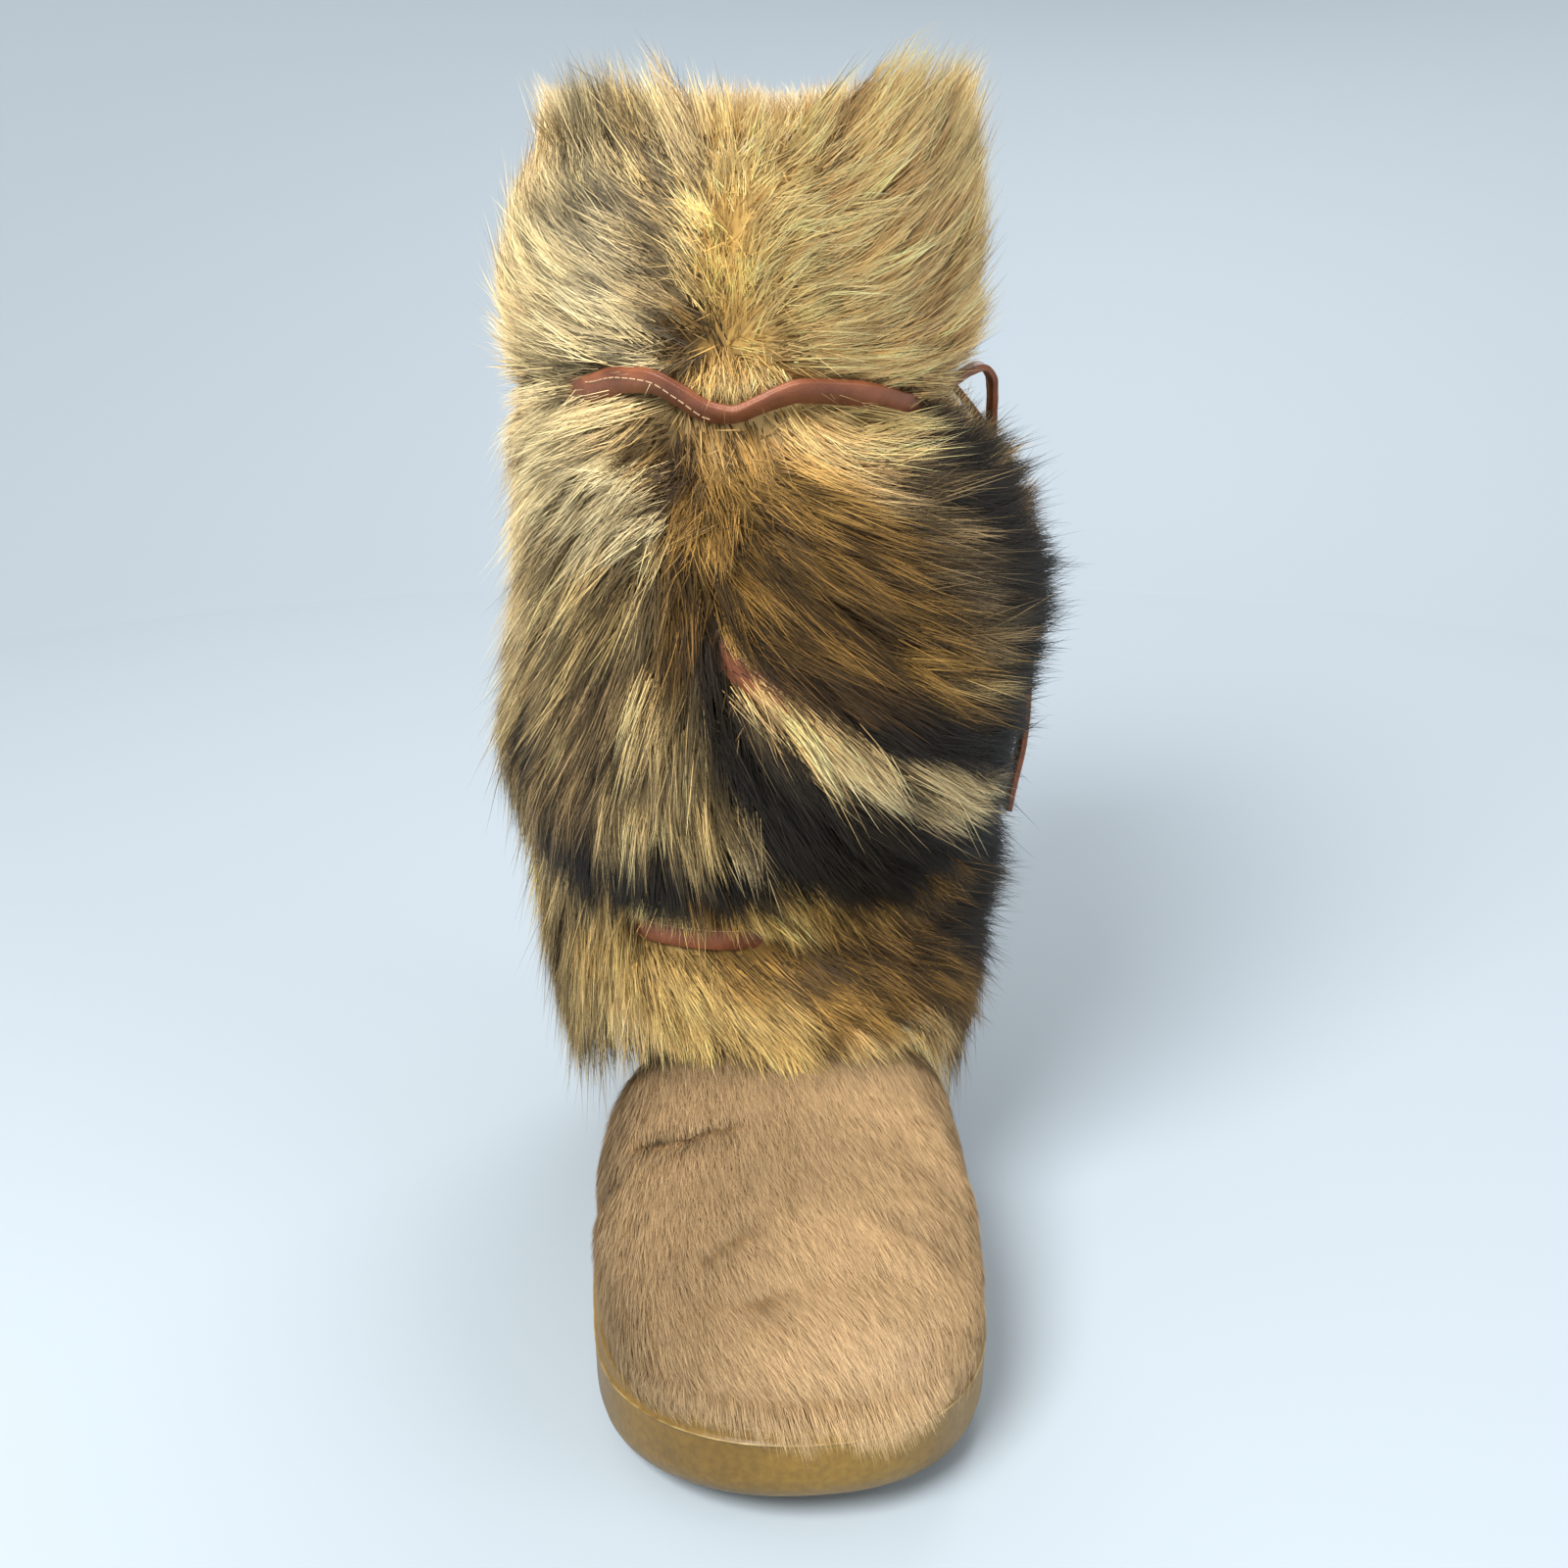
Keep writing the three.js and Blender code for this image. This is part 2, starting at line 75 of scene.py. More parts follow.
# Sole: station, medial half width, lateral half width
SOLE_OUTLINE = np.array([
    (0, 51, 48), (38.5, 55, 51), (82.5, 55.5, 55), (113, 53, 56.5),
    (158, 40, 49.5), (198, 35.5, 43), (243, 37, 39), (286, 36, 37),
])
# Sole: station, height of the ground face, height of the lip
SOLE_PROFILE = np.array([
    (0, 10, 33), (22, 4.4, 29.4), (57, 0, 25.6), (98, 0, 24.2), (126, 0, 26.8),
    (163, 9, 32), (200, 0, 37), (243, 0, 41), (270, 0, 43), (286, 3, 44),
])
# Sole side, ground to bed: inset from the outline, height above the ground face, depth below the lip.
# A row has one of the two heights.
NONE = math.nan
SOLE_SIDE = [
    (10, 0, NONE), (6.5, 0.5, NONE), (4.0, 1.5, NONE), (2.2, 3.2, NONE), (1.0, 5.6, NONE),
    (0.3, 8.4, NONE), (0.1, NONE, 8.0), (0.1, NONE, 5.4), (0.1, NONE, 4.6), (-0.15, NONE, 4.4),
    (-0.15, NONE, 4.25), (0.3, NONE, 4.05), (0.75, NONE, 3.1), (0.95, NONE, 2.0), (0.85, NONE, 1.1),
    (1.1, NONE, 0.4), (1.7, NONE, 0.05), (2.4, NONE, 0.1), (3.2, NONE, 0.5), (3.8, NONE, 1.6),
    (6.8, NONE, CUP_DEPTH),
]
PARTING_ROWS = (9, 10)  # the raised parting line of the mould, in the rows above
PARTING_WEAR = 0.6, 0.3  # how pale the line is, and how much that varies
# Last and fur: front station and height, back station and height, medial and lateral half widths
LAST_SECTIONS = np.array([
    (4, 38.5, 4, 31, 5, 5), (5.5, 43, 5.5, 22, 17, 16), (11, 48.5, 11, 12, 30, 28),
    (21, 54, 21, 5, 41.5, 39), (39.5, 60, 39.5, 3, 50, 47), (70.5, 68.5, 70.5, 2, 54, 52.4),
    (100, 76.5, 102, 1, 53.5, 54.4), (113, 84, 132, 0, 49.5, 53), (118, 92, 173, 2, 39, 47),
    (120, 98, 223, 5, 33.6, 41), (121, 103, 263, 10, 34, 38), (121.5, 107, 280, 25, 36.5, 38),
    (122, 111, 283, 52, 39, 40), (122, 117, 278, 80, 42.5, 43), (120, 127, 270, 108, 47, 47.5),
    (114, 146, 267, 140, 53, 55), (107, 175, 269, 172, 55, 60), (104, 216, 270, 216, 54, 60),
    (107, 263, 266, 263, 55, 42), (105, 300, 268, 300, 54, 44), (105, 352, 268, 352, 43, 42),
])
LAST_ROUNDNESS = 2.45
LEG_ROW, FOOT_ROWS = 13, 16  # where the last's sections become the leg's, and how many the foot has
FUR_SECTIONS = np.array([
    (101, 85, 285, 50, 60, 65), (98, 88, 287, 54, 64, 70), (100, 96, 287, 68, 66, 73),
    (105, 106, 286, 90, 68, 75), (109, 116, 283, 113, 69, 74), (100, 130, 285, 134, 72, 79),
    (88, 152, 288, 156, 78, 83), (80.5, 185, 289, 188, 73, 84), (80.5, 215, 288, 216, 70, 81),
    (83.5, 244, 284, 244, 71.5, 70), (90, 263, 280, 263, 70, 57), (84.5, 281, 283, 281, 73, 64),
    (82.5, 308, 284, 308, 68.5, 63.5), (84.5, 331, 283, 331, 61, 60), (92, 340, 277, 340, 53, 54),
])
FUR_ROUNDNESS = 2.2
SHAFT_MIDDLE = 185
HEM_ROW, RIM_ROW = 1, 13

# Free lace pieces at the tie: out from the middle, back from the tie, height
LACE_LOOP_ROUTE = np.array([
    (51.5, -16, 263), (56, -15.5, 264), (61, -13.5, 266.5), (65.5, -11, 267.5),
    (69, -8, 265), (70.6, -5, 259.5), (71.2, -2.5, 253), (71.8, -0.5, 246.5),
    (72.6, 0.5, 242),
])
LACE_END_ROUTE = np.array([
    (51.2, 10, 264), (58.8, 10, 262), (64.9, 10.5, 256), (73.5, 11, 244), (79.5, 11, 229),
    (84, 10, 213), (86.8, 9, 196), (87.6, 8, 179), (87.4, 6, 162), (86, 4, 147),
    (83, 2, 134), (81.4, 1, 126),
])
LACE_END_SEEN = 6  # from this point on the hanging end shows
LACE_POINTS = 90  # along a free piece or a slanting leg
# Wound lace: depth below the fur's face, rise where it shows, and where that is: turn and spread
CALF_DEPTH, CALF_RISE, CALF_SHOWN = 7.2, 4.0, (-3, 46)
ANKLE_DEPTH, ANKLE_RISE, ANKLE_SHOWN = 9.5, 4.2, (-22, 20)
LEG_DEPTH, LEG_RISE, LEG_SHOWN = 9.5, 3.0, (-7, 10)
# Twist of the lace in front of the calf, and more of it at its dip
CALF_TWIST, DIP_TWIST, DIP_TURN, DIP_SPREAD = 0.66, 0.4, -7, 7
# Stitches in front of the calf cross the lace: turn, place across it
CALF_SEAM = np.array([(-46, 2.4), (-30, 1.2), (-12, -2.0)])
SEWN_FROM, SEWN_TO = -46, -11
# Slanting legs of the wound lace: turn and height at the calf, turn and height at the ankle
LACE_DIAGONALS = [(-68, CALF_TIE, 74, ANKLE_TIE), (96, CALF_TIE, 262, ANKLE_TIE)]

# Stage, in metres
FLOOR_RADIUS, WALL_BEND, STAGE_SPOKES = 0.9, 1.1, 96
FLOOR_COLOUR = (172, 184, 194)
# Lights: name, place in metres, size, power, colour
LIGHTS = [
    ("key", (-0.7, -1.0, 1.3), 0.8, 45, (1.0, 0.98, 0.95)),
    ("fill", (1.2, -0.9, 0.7), 1.2, 10, (1.0, 1.0, 1.0)),
    ("back", (0.4, 1.2, 1.2), 1.0, 12, (1.0, 1.0, 1.0)),
]
LIT_PLACE = (0, 0, 0.17)
SKY_COLOUR, SKY_STRENGTH = (1.0, 0.99, 0.97, 1), 0.54
# Camera, worked out from the photo: place in the boot's millimetres, view direction and focal length
CAMERA_PLACE = (-51, -387, 337)
CAMERA_LOOK = (0.101, 0.9485, -0.3338)
CAMERA_LENS, SENSOR = 44.0, 36.0

# Coats of the fur: root, middle and tip, as sRGB, and the share of hairs with dark ends
COATS = {
    "white": ((150, 124, 80), (212, 192, 142), (230, 213, 168), 0.14),
    "white_grey": ((140, 115, 73), (194, 173, 125), (214, 195, 149), 0.32),
    "cream": ((166, 134, 84), (226, 196, 140), (242, 216, 166), 0.12),
    "cream_grey": ((134, 104, 60), (192, 162, 106), (214, 186, 128), 0.44),
    "cream_black": ((136, 106, 62), (198, 168, 112), (230, 202, 146), 0.68),
    "cream_gold": ((202, 157, 94), (255, 210, 140), (255, 223, 160), 0.1),
    "pale_gold": ((234, 188, 114), (255, 218, 142), (255, 230, 164), 0.06),
    "gold": ((234, 184, 106), (255, 206, 118), (255, 216, 134), 0.06),
    "gold_grey": ((198, 152, 91), (255, 208, 140), (255, 220, 158), 0.12),
    "straw": ((168, 132, 74), (222, 184, 112), (236, 200, 132), 0.14),
    "gold_brown": ((126, 92, 44), (176, 136, 70), (196, 154, 86), 0.34),
    "gold_dark": ((98, 72, 34), (132, 98, 46), (164, 126, 68), 0.66),
    "brown": ((80, 59, 33), (100, 74, 42), (132, 100, 60), 0.84),
    "grey_black": ((112, 92, 60), (150, 124, 84), (190, 162, 116), 0.78),
    "black": ((46, 41, 36), (44, 40, 36), (76, 68, 56), 0.97),
}
WHITE, BLACK = (255, 255, 255), (0, 0, 0)
DARK_ROOT = (66, 54, 40)
DARK_MIDDLE, DARK_TIP = (38, 34, 30), (14, 14, 15)
# Lie of the fur: turn from the front, height, spread of each, heading of the hair (0 towards the outer
# side, 90 up), length
LIES = [
    # Collar: a short parting, with the hair combed away to both sides of it
    (-16, 334, 6, 10, 102, 20), (-12, 311, 5, 14, 95, 10), (-9, 290, 5, 9, 80, 10), (-13, 277, 6, 5, -95, 12),
    (-6, 277, 5, 5, -60, 12), (-24, 332, 7, 10, 108, 30), (-21, 308, 5, 14, 150, 20),
    (-20, 288, 6, 9, 150, 22),
    (-36, 334, 8, 10, 98, 30), (-34, 310, 8, 14, 142, 28), (-36, 288, 9, 10, 155, 32),
    (-56, 332, 14, 10, 90, 25), (-58, 305, 14, 14, 142, 32), (-56, 280, 12, 8, 160, 36),
    (-3, 332, 7, 9, 62, 12), (-2, 314, 5, 12, 25, 20), (2, 292, 6, 10, 18, 24), (2, 279, 6, 5, 15, 24),
    (11, 332, 7, 9, 58, 30), (14, 310, 8, 12, 40, 32), (16, 290, 9, 9, 32, 34), (18, 278, 9, 5, 20, 32),
    (32, 330, 12, 10, 66, 34), (36, 304, 12, 12, 50, 34), (38, 284, 12, 8, 34, 36),
    (64, 330, 16, 10, 78, 27), (66, 300, 16, 14, 50, 34), (66, 278, 14, 8, 25, 34),
    (105, 330, 25, 10, 70, 20), (180, 330, 30, 10, 90, 20), (-132, 330, 28, 10, 100, 20),
    (-92, 330, 20, 10, 104, 20),
    (95, 296, 20, 30, 62, 34), (128, 296, 30, 30, 72, 30), (180, 296, 30, 30, 90, 30),
    (-142, 296, 30, 30, 105, 30), (-100, 296, 25, 30, 115, 34),
    # Calf: the hair turns out from a whorl
    (-48, 260, 10, 6, 205, 30), (-67, 254, 12, 10, 205, 36), (-34, 256, 7, 6, 215, 24),
    (-58, 238, 12, 9, 222, 36), (-44, 240, 8, 8, 228, 30), (-46, 226, 10, 7, 240, 34),
    (-90, 230, 18, 30, 232, 38), (-28, 250, 5, 6, 215, 18), (-16, 244, 5, 5, -90, 12),
    (-8, 262, 6, 4, -70, 14), (0, 258, 7, 5, -25, 26), (14, 260, 9, 5, -4, 32), (32, 258, 10, 6, 0, 36),
    (4, 246, 9, 6, -18, 28), (22, 244, 10, 8, -10, 34), (44, 240, 12, 10, -2, 38), (64, 235, 14, 14, -4, 40),
    (-4, 232, 7, 7, -38, 26), (10, 228, 8, 7, -22, 32), (30, 222, 10, 9, -12, 38), (52, 212, 12, 10, -6, 40),
    (74, 205, 14, 16, -10, 42), (4, 212, 7, 6, -32, 32), (20, 206, 8, 7, -20, 36), (38, 196, 10, 7, -10, 38),
    (58, 186, 10, 8, -6, 38), (12, 193, 7, 4, -32, 30), (28, 182, 8, 5, -22, 34), (48, 172, 9, 6, -14, 36),
    (92, 220, 18, 25, -10, 42), (110, 200, 22, 40, -22, 42),
    (-9, 198, 4, 4, -62, 26), (-4, 187, 5, 5, -52, 32), (4, 178, 6, 5, -42, 34), (14, 169, 7, 5, -34, 36),
    (30, 160, 8, 5, -24, 38), (48, 152, 9, 6, -16, 38),
    (-14, 190, 4, 6, -66, 32), (-6, 172, 5, 6, -58, 34), (6, 158, 7, 6, -48, 36), (20, 146, 9, 6, -38, 36),
    (40, 138, 10, 7, -30, 38), (66, 140, 12, 10, -28, 38), (92, 155, 18, 18, -35, 40),
    (-22, 222, 6, 7, -78, 26), (-36, 214, 8, 8, -100, 32), (-60, 208, 12, 10, -108, 36),
    (-84, 190, 16, 24, -110, 38), (-28, 196, 6, 8, -88, 34), (-46, 184, 10, 9, -98, 36),
    (-64, 170, 10, 10, -100, 36), (-32, 166, 7, 9, -90, 36), (-48, 150, 10, 9, -94, 38),
    (-20, 172, 5, 8, -74, 34), (-14, 154, 5, 6, -66, 34), (-28, 140, 8, 6, -86, 34), (-6, 140, 6, 6, -58, 32),
    (-40, 130, 10, 5, -90, 28), (-20, 130, 8, 5, -80, 26), (-2, 130, 8, 5, -62, 26), (18, 130, 9, 5, -48, 28),
    (-62, 118, 10, 8, -92, 38), (0, 122, 9, 4, -30, 18), (16, 120, 9, 4, -22, 22), (42, 122, 10, 6, -18, 30),
    (66, 116, 10, 9, -16, 32), (135, 190, 30, 60, -65, 36), (180, 190, 30, 60, -90, 36),
    (-140, 190, 30, 60, -105, 36),
    # Ankle and hem, longest at the sides of the foot
    (-44, 102, 8, 8, -70, 24), (-22, 104, 8, 6, -52, 22), (-2, 104, 8, 6, -44, 24),
    (-46, 84, 9, 7, -80, 26), (-26, 86, 8, 6, -70, 18), (-12, 86, 6, 6, -58, 20), (-2, 86, 5, 6, -62, 32),
    (8, 86, 5, 6, -40, 22), (16, 88, 6, 6, -46, 26), (14, 105, 8, 6, -32, 28), (34, 100, 10, 8, -24, 32),
    (54, 92, 10, 9, -26, 36), (28, 84, 7, 7, -62, 44), (40, 80, 8, 8, -66, 54), (56, 76, 9, 8, -64, 60),
    (-70, 84, 10, 12, -92, 36), (-60, 74, 9, 9, -86, 44), (72, 80, 10, 12, -74, 52),
    (95, 80, 20, 20, -62, 34), (140, 80, 28, 30, -85, 30), (180, 80, 30, 30, -90, 30),
    (-135, 80, 28, 30, -95, 30), (-100, 68, 22, 14, -94, 38), (102, 66, 22, 14, -80, 38),
]
# Colours of the fur where they show: turn from the front, height, spread of each, coat
PATCHES = [
    # Collar
    (-16, 332, 6, 12, "pale_gold"), (-12, 311, 6, 14, "gold"), (-8, 286, 6, 12, "gold"),
    (-40, 338, 6, 10, "cream_grey"), (-32, 323, 5.5, 11, "cream_black"), (-27, 304, 5.5, 12, "cream_black"),
    (-19, 289, 5, 9, "gold_dark"), (-47, 315, 9, 14, "white_grey"), (-48, 294, 9, 12, "white"),
    (-40, 282, 8, 8, "white_grey"), (-62, 300, 14, 40, "white_grey"), (-24, 335, 6, 10, "cream"),
    (-20, 311, 3, 14, "pale_gold"), (2, 317, 8, 20, "pale_gold"), (4, 288, 8, 12, "pale_gold"),
    (18, 316, 10, 20, "cream_gold"), (20, 288, 12, 14, "cream_gold"), (48, 312, 14, 20, "gold_grey"),
    (48, 288, 14, 14, "gold_grey"), (75, 300, 15, 40, "gold_grey"), (-13, 277, 7, 5, "gold_brown"),
    (-5, 273, 8, 4, "cream_gold"), (128, 300, 35, 60, "pale_gold"), (180, 300, 32, 60, "gold"),
    (-142, 300, 32, 60, "cream_grey"), (-95, 300, 22, 60, "cream"),
    # Calf, above the slanting lace
    (-67, 256, 12, 10, "white"), (-48, 260, 10, 6, "cream"), (-34, 258, 7, 5, "cream_grey"),
    (-58, 239, 10, 9, "white"), (-43, 240, 8, 9, "white"), (-48, 226, 8, 6, "white"),
    (-30, 254, 5, 6, "gold_dark"), (-25, 248, 5, 7, "brown"), (-18, 243, 5, 6, "gold_dark"),
    (-14, 236, 7, 7, "gold_brown"), (-6, 259, 7, 5, "cream_gold"), (6, 264, 10, 5, "pale_gold"),
    (18, 262, 12, 6, "pale_gold"), (16, 255, 8, 5, "cream_gold"), (32, 260, 10, 6, "pale_gold"),
    (-6, 249, 7, 6, "gold_brown"), (9, 246, 8, 6, "gold_brown"), (-4, 233, 8, 7, "gold_dark"),
    (8, 229, 8, 7, "gold_dark"), (28, 252, 8, 7, "gold_grey"), (34, 240, 8, 9, "grey_black"),
    (22, 228, 8, 8, "gold_dark"), (40, 226, 7, 9, "grey_black"), (62, 250, 12, 10, "black"),
    (55, 234, 9, 10, "black"), (60, 218, 9, 9, "black"), (74, 196, 9, 12, "black"), (72, 175, 8, 10, "black"),
    (58, 168, 7, 6, "black"), (3, 220, 8, 6, "gold_dark"), (19, 218, 8, 6, "gold_dark"),
    (3, 208, 7, 6, "gold_dark"), (19, 208, 9, 6, "gold_dark"), (30, 208, 8, 6, "gold_dark"),
    (44, 208, 7, 7, "grey_black"), (34, 198, 7, 4, "gold_brown"), (46, 188, 5, 4, "cream_grey"),
    (38, 184, 6, 4, "gold_dark"), (3, 198, 6, 4, "brown"), (14, 190, 8, 5, "brown"),
    (30, 177, 10, 6, "black"),
    # Calf, the pale streak below the slanting lace and the black wedge under it
    (-8, 196, 4, 3, "gold_brown"), (-4, 188, 5, 2.6, "gold_grey"), (3, 180, 6, 2.6, "cream_gold"),
    (10, 174, 6, 2.6, "cream_gold"), (17, 168.5, 6, 2.8, "cream"), (24, 163, 8, 2.8, "cream"),
    (40, 152, 8, 2.8, "cream"),
    (-18, 201, 3, 5, "brown"), (-14, 192, 4, 6, "black"), (-7, 178, 4, 6, "black"), (-5, 166, 5, 6, "black"),
    (4, 160, 7, 6, "black"), (12, 150, 9, 6, "black"), (29, 140, 10, 6, "black"), (4, 142, 8, 6, "black"),
    (25, 128, 10, 6, "black"), (46, 138, 9, 7, "black"),
    # Calf, inner side
    (-62, 209, 9, 9, "cream_black"), (-44, 212, 8, 8, "cream_grey"), (-32, 210, 6, 8, "cream_black"),
    (-22, 212, 5, 8, "gold_dark"), (-26, 196, 5, 7, "gold_dark"), (-58, 180, 9, 9, "cream_black"),
    (-42, 182, 6, 8, "grey_black"), (-30, 180, 5, 9, "cream_black"), (-22, 184, 4, 7, "cream_grey"),
    (-54, 154, 8, 8, "grey_black"), (-42, 154, 5, 7, "grey_black"), (-30, 156, 6, 8, "cream_black"),
    (-36, 168, 4, 5, "black"), (-66, 160, 6, 8, "black"), (-22, 170, 4, 6, "cream_black"),
    (-16, 160, 5, 6, "cream_grey"), (-11, 149, 5, 5, "cream_grey"), (-6, 142, 3, 3, "cream"),
    (-68, 127, 8, 5, "grey_black"), (-53, 128, 8, 5, "black"), (-38, 129, 9, 5, "black"),
    (-24, 129, 8, 4.5, "black"),
    (-12, 128, 7, 4, "black"), (-4, 127, 6, 4, "black"),
    # Ankle
    (-68, 112, 8, 9, "cream_black"), (-58, 106, 7, 7, "cream_grey"), (-12, 121, 6, 3, "gold_dark"),
    (2, 122, 8, 4, "gold"), (16, 119, 9, 4, "gold_brown"), (42, 122, 9, 6, "gold_dark"),
    (66, 118, 9, 9, "black"), (-44, 100, 10, 8, "straw"), (-23, 103, 10, 7, "straw"),
    (-2, 103, 10, 6, "gold_brown"), (-46, 84, 10, 6, "gold_grey"), (-20, 90, 12, 6, "straw"),
    (-3, 89, 10, 6, "straw"), (-70, 80, 12, 14, "cream_grey"), (-58, 72, 10, 10, "cream_grey"),
    (12, 105, 8, 5, "gold_dark"), (26, 100, 9, 6, "gold_dark"), (16, 92, 8, 6, "gold_brown"),
    (40, 92, 9, 8, "gold_dark"), (54, 81, 9, 8, "gold_dark"), (34, 76, 10, 6, "cream_gold"),
    (44, 70, 10, 8, "cream_gold"), (62, 102, 8, 7, "black"), (72, 90, 8, 8, "black"),
    # Outer side, back and inner side
    (90, 235, 14, 12, "brown"), (98, 212, 12, 12, "black"), (108, 190, 12, 12, "gold_dark"),
    (92, 160, 14, 12, "brown"), (112, 150, 12, 12, "grey_black"), (125, 225, 14, 14, "gold_brown"),
    (135, 195, 18, 22, "gold_dark"), (138, 150, 20, 16, "brown"), (180, 210, 25, 30, "gold_brown"),
    (180, 150, 25, 25, "cream_black"), (-140, 210, 25, 30, "cream_gold"), (-140, 150, 25, 20, "grey_black"),
    (-100, 200, 18, 26, "cream"), (-95, 150, 18, 18, "cream_black"), (95, 90, 20, 20, "gold_dark"),
    (140, 90, 30, 30, "gold_brown"), (180, 90, 30, 30, "cream_gold"), (-120, 90, 25, 25, "gold"),
]
# Height of the lace round the calf: turn, height
CALF_LACE = np.array([
    (-180, 263), (-75, 265), (-44, 270), (-34, 273.5), (-27, 274), (-20, 270.5), (-14, 266.5), (-9, 266),
    (-4, 268.5), (3, 272), (15, 271), (26, 268.5), (36, 265.5), (48, 263.5), (180, 263),
])
# Stretches of lace that show: turn and height at each end, half width left clear of hair
PARTINGS = [
    (-38, 272, -27, 274, 2.3), (-27, 274, -14, 266.5, 2.5), (-14, 266.5, -4, 268.5, 2.3),
    (-4, 268.5, 4, 272, 2.3), (4, 272, 16, 271, 2.5), (16, 271, 38, 265, 2.0),
    (-13, 207, -2, 197, 0.9), (-37, 114, -19, 113.3, 1.3), (-19, 113.3, 2, 113.6, 0.35),
]
# The fur turns outward from here: turn and height
WHORL = (-16, 244)
# Where the fur stands out or lies close: turn, height, spread of each, how far it stands out
SWELLS = [
    (80, 146, 32, 18, -9), (76, 238, 24, 14, 9), (82, 206, 22, 18, 12), (74, 110, 20, 14, 13),
    (66, 78, 16, 12, 7), (30, 76, 12, 10, 4), (-75, 338, 38, 14, -14),
]
DEGREE_WIDTH = 1.35  # millimetres across the front for each degree of turn
LONGEST = 1.4  # longest guard hairs, as a share of the coat's length
LOCK_STEPS = 10  # steps along the middle line of a lock
HEM_LEAN = 0.2  # how much the fur leans in towards the foot as it drops below the hem
# Strands: greatest twist, width at the tip as a share, how round the shading makes them
RIBBON_TWIST, RIBBON_TAPER, RIBBON_ROUNDING = 1.0, 0.5, 0.6
LEAST_TINT = 0.002  # darkest that a hair gets, as linear light
HIDE_SHADE, HIDE_DARK = 0.45, 0.8  # painted shade deep in the fur: the shaft's hide as a share of its coat, and how dark hair darkens it
# Locks: spread of headings in degrees, more of it near the whorl, and how far that reaches
HEADING_SPREAD, WHORL_SPREAD, WHORL_REACH = 7, 45, 7
LOCK_LENGTHS = (0.8, 1.15)  # shares of the coat's length
LOCK_LIFTS = (10, 26)  # degrees at the root
LIFT_FADE, DROOP = 1.1, 0.22  # how a lock bends over along its length, and how far it turns down
LEAST_SHOWN = 0.12  # locks that the open lace cuts shorter than this share are left out
LACE_CLEAR = 5  # locks stay this far from the hanging end
COLOUR_REACH = 0.7  # a lock has the colour of the place that this share of its length reaches
PATCH_FOCUS, OWN_PATCH = 1.6, 0.4  # how sharply patches change, and how much a lock keeps to one
MIX_SPREAD, MIX_FOCUS = 0.7, 1.6  # how unlike each other the locks of a mixed coat are
LOCK_TONE, STRAND_TONE, TONE_LIMITS = 0.24, 0.25, (0.4, 1.7)  # how much locks and strands vary
DARK_COVER = 0.8  # how far a dark hair loses its coat's own colour
# Strands of a lock: reach as shares of the coat's length, how ragged they end at open lace
STRAND_REACH, CUT_REACH = (0.6, 1.02), (0.8, 1.0)
GUARD_SHARE, GUARD_REACH, GUARD_LIFT = 0.05, 0.34, (1, 6)  # long guard hairs: how many, added reach and lift
LOCK_RADIUS, LOCK_GATHER = 2.0, 0.55  # a lock's spread, and how much of it is lost at the tip
# Share of stray strands, and how far the tips of strays and of other strands bend and lift
STRAY_SHARE, STRAY_BEND, STRAND_BEND, STRAND_LIFT = 0.15, 2.4, 0.8, 1.2
# Underwool: tone at two lengths of the hair over it, which paints shade under longer hair, how dark hair
# darkens it, and tone of root and tip, which paints shade at the root
WOOL_OPEN, WOOL_DARK, WOOL_SHADE = ((14, 28), (1.0, 0.62)), 0.75, np.array([0.66, 0.98])
# Short hair: spread of headings, and ranges of lift, length and tone about its style's own
SHORT_JITTER, SHORT_RISE, SHORT_LENGTHS, SHORT_TONES = 0.16, (0.4, 1.5), (0.7, 1.2), (0.5, 1.5)
# Fringe that hangs over the lip at the toe: x, length
FRINGE_LENGTHS = [(-40, 4), (-20, 7), (-6, 12.5), (16, 12), (28, 8), (36, 3)]
# Foot's hair: shade and reach of the vamp seam, the toe's painted highlight, the painted shadow under the
# hem, clouds, and painted shade in creases
SEAM_SHADE, SEAM_REACH = 0.55, 1.6
TOE_LIGHT, TOE_REACH = 0.08, 40
HEM_SHADE, HEM_REACH, HEM_COVER = 0.45, 6, 7
CLOUD_SHADE, CREASE_SHADE = 0.06, 0.85
# Vamp seam: station and height of a point on it, and how far it slants back for each millimetre down
SEAM_STATION, SEAM_HEIGHT, SEAM_SLANT = 142, 30, 0.55
HEM_STATION, HEM_HEIGHT, HEM_FALL = 90, 92, 0.19  # a point of the hem over the foot, and its fall behind
# Where short hair grows: under the lip and the hem of the foot and back to a station, in a band above
# the lip at the toe, away from open lace, and between two heights of the lining
LIP_TUCK, HEM_TUCK, HAIR_END = 1, 6, 262
FRINGE_LOW, FRINGE_HIGH, FRINGE_END = 2, 8, 26
WOOL_CLEAR = 1.5
PILE_LOW, PILE_HIGH = 250, RIM - 3
# Hair tips over the rim: turn from the front, greatest height. They ease off over the last stretch.
TIP_LIMITS = np.array([
    (-180, 345), (-140, 346), (-100, 348), (-62, 351), (-42, 354), (-26, 355), (-14, 353), (-6, 348),
    (-1, 343), (4, 344), (10, 350), (18, 355), (40, 356), (60, 353), (90, 349), (140, 346), (180, 345),
])
TIP_EASE, TIP_SCATTER = 9, (-4, 3)  # the limit varies by the second from hair to hair
RIM_HALF_WIDTH, RIM_HALF_DEPTH = 60, 99
SIDE_LIMIT, SIDE_EASE = 101, 12  # hair on the outer side eases off before the first
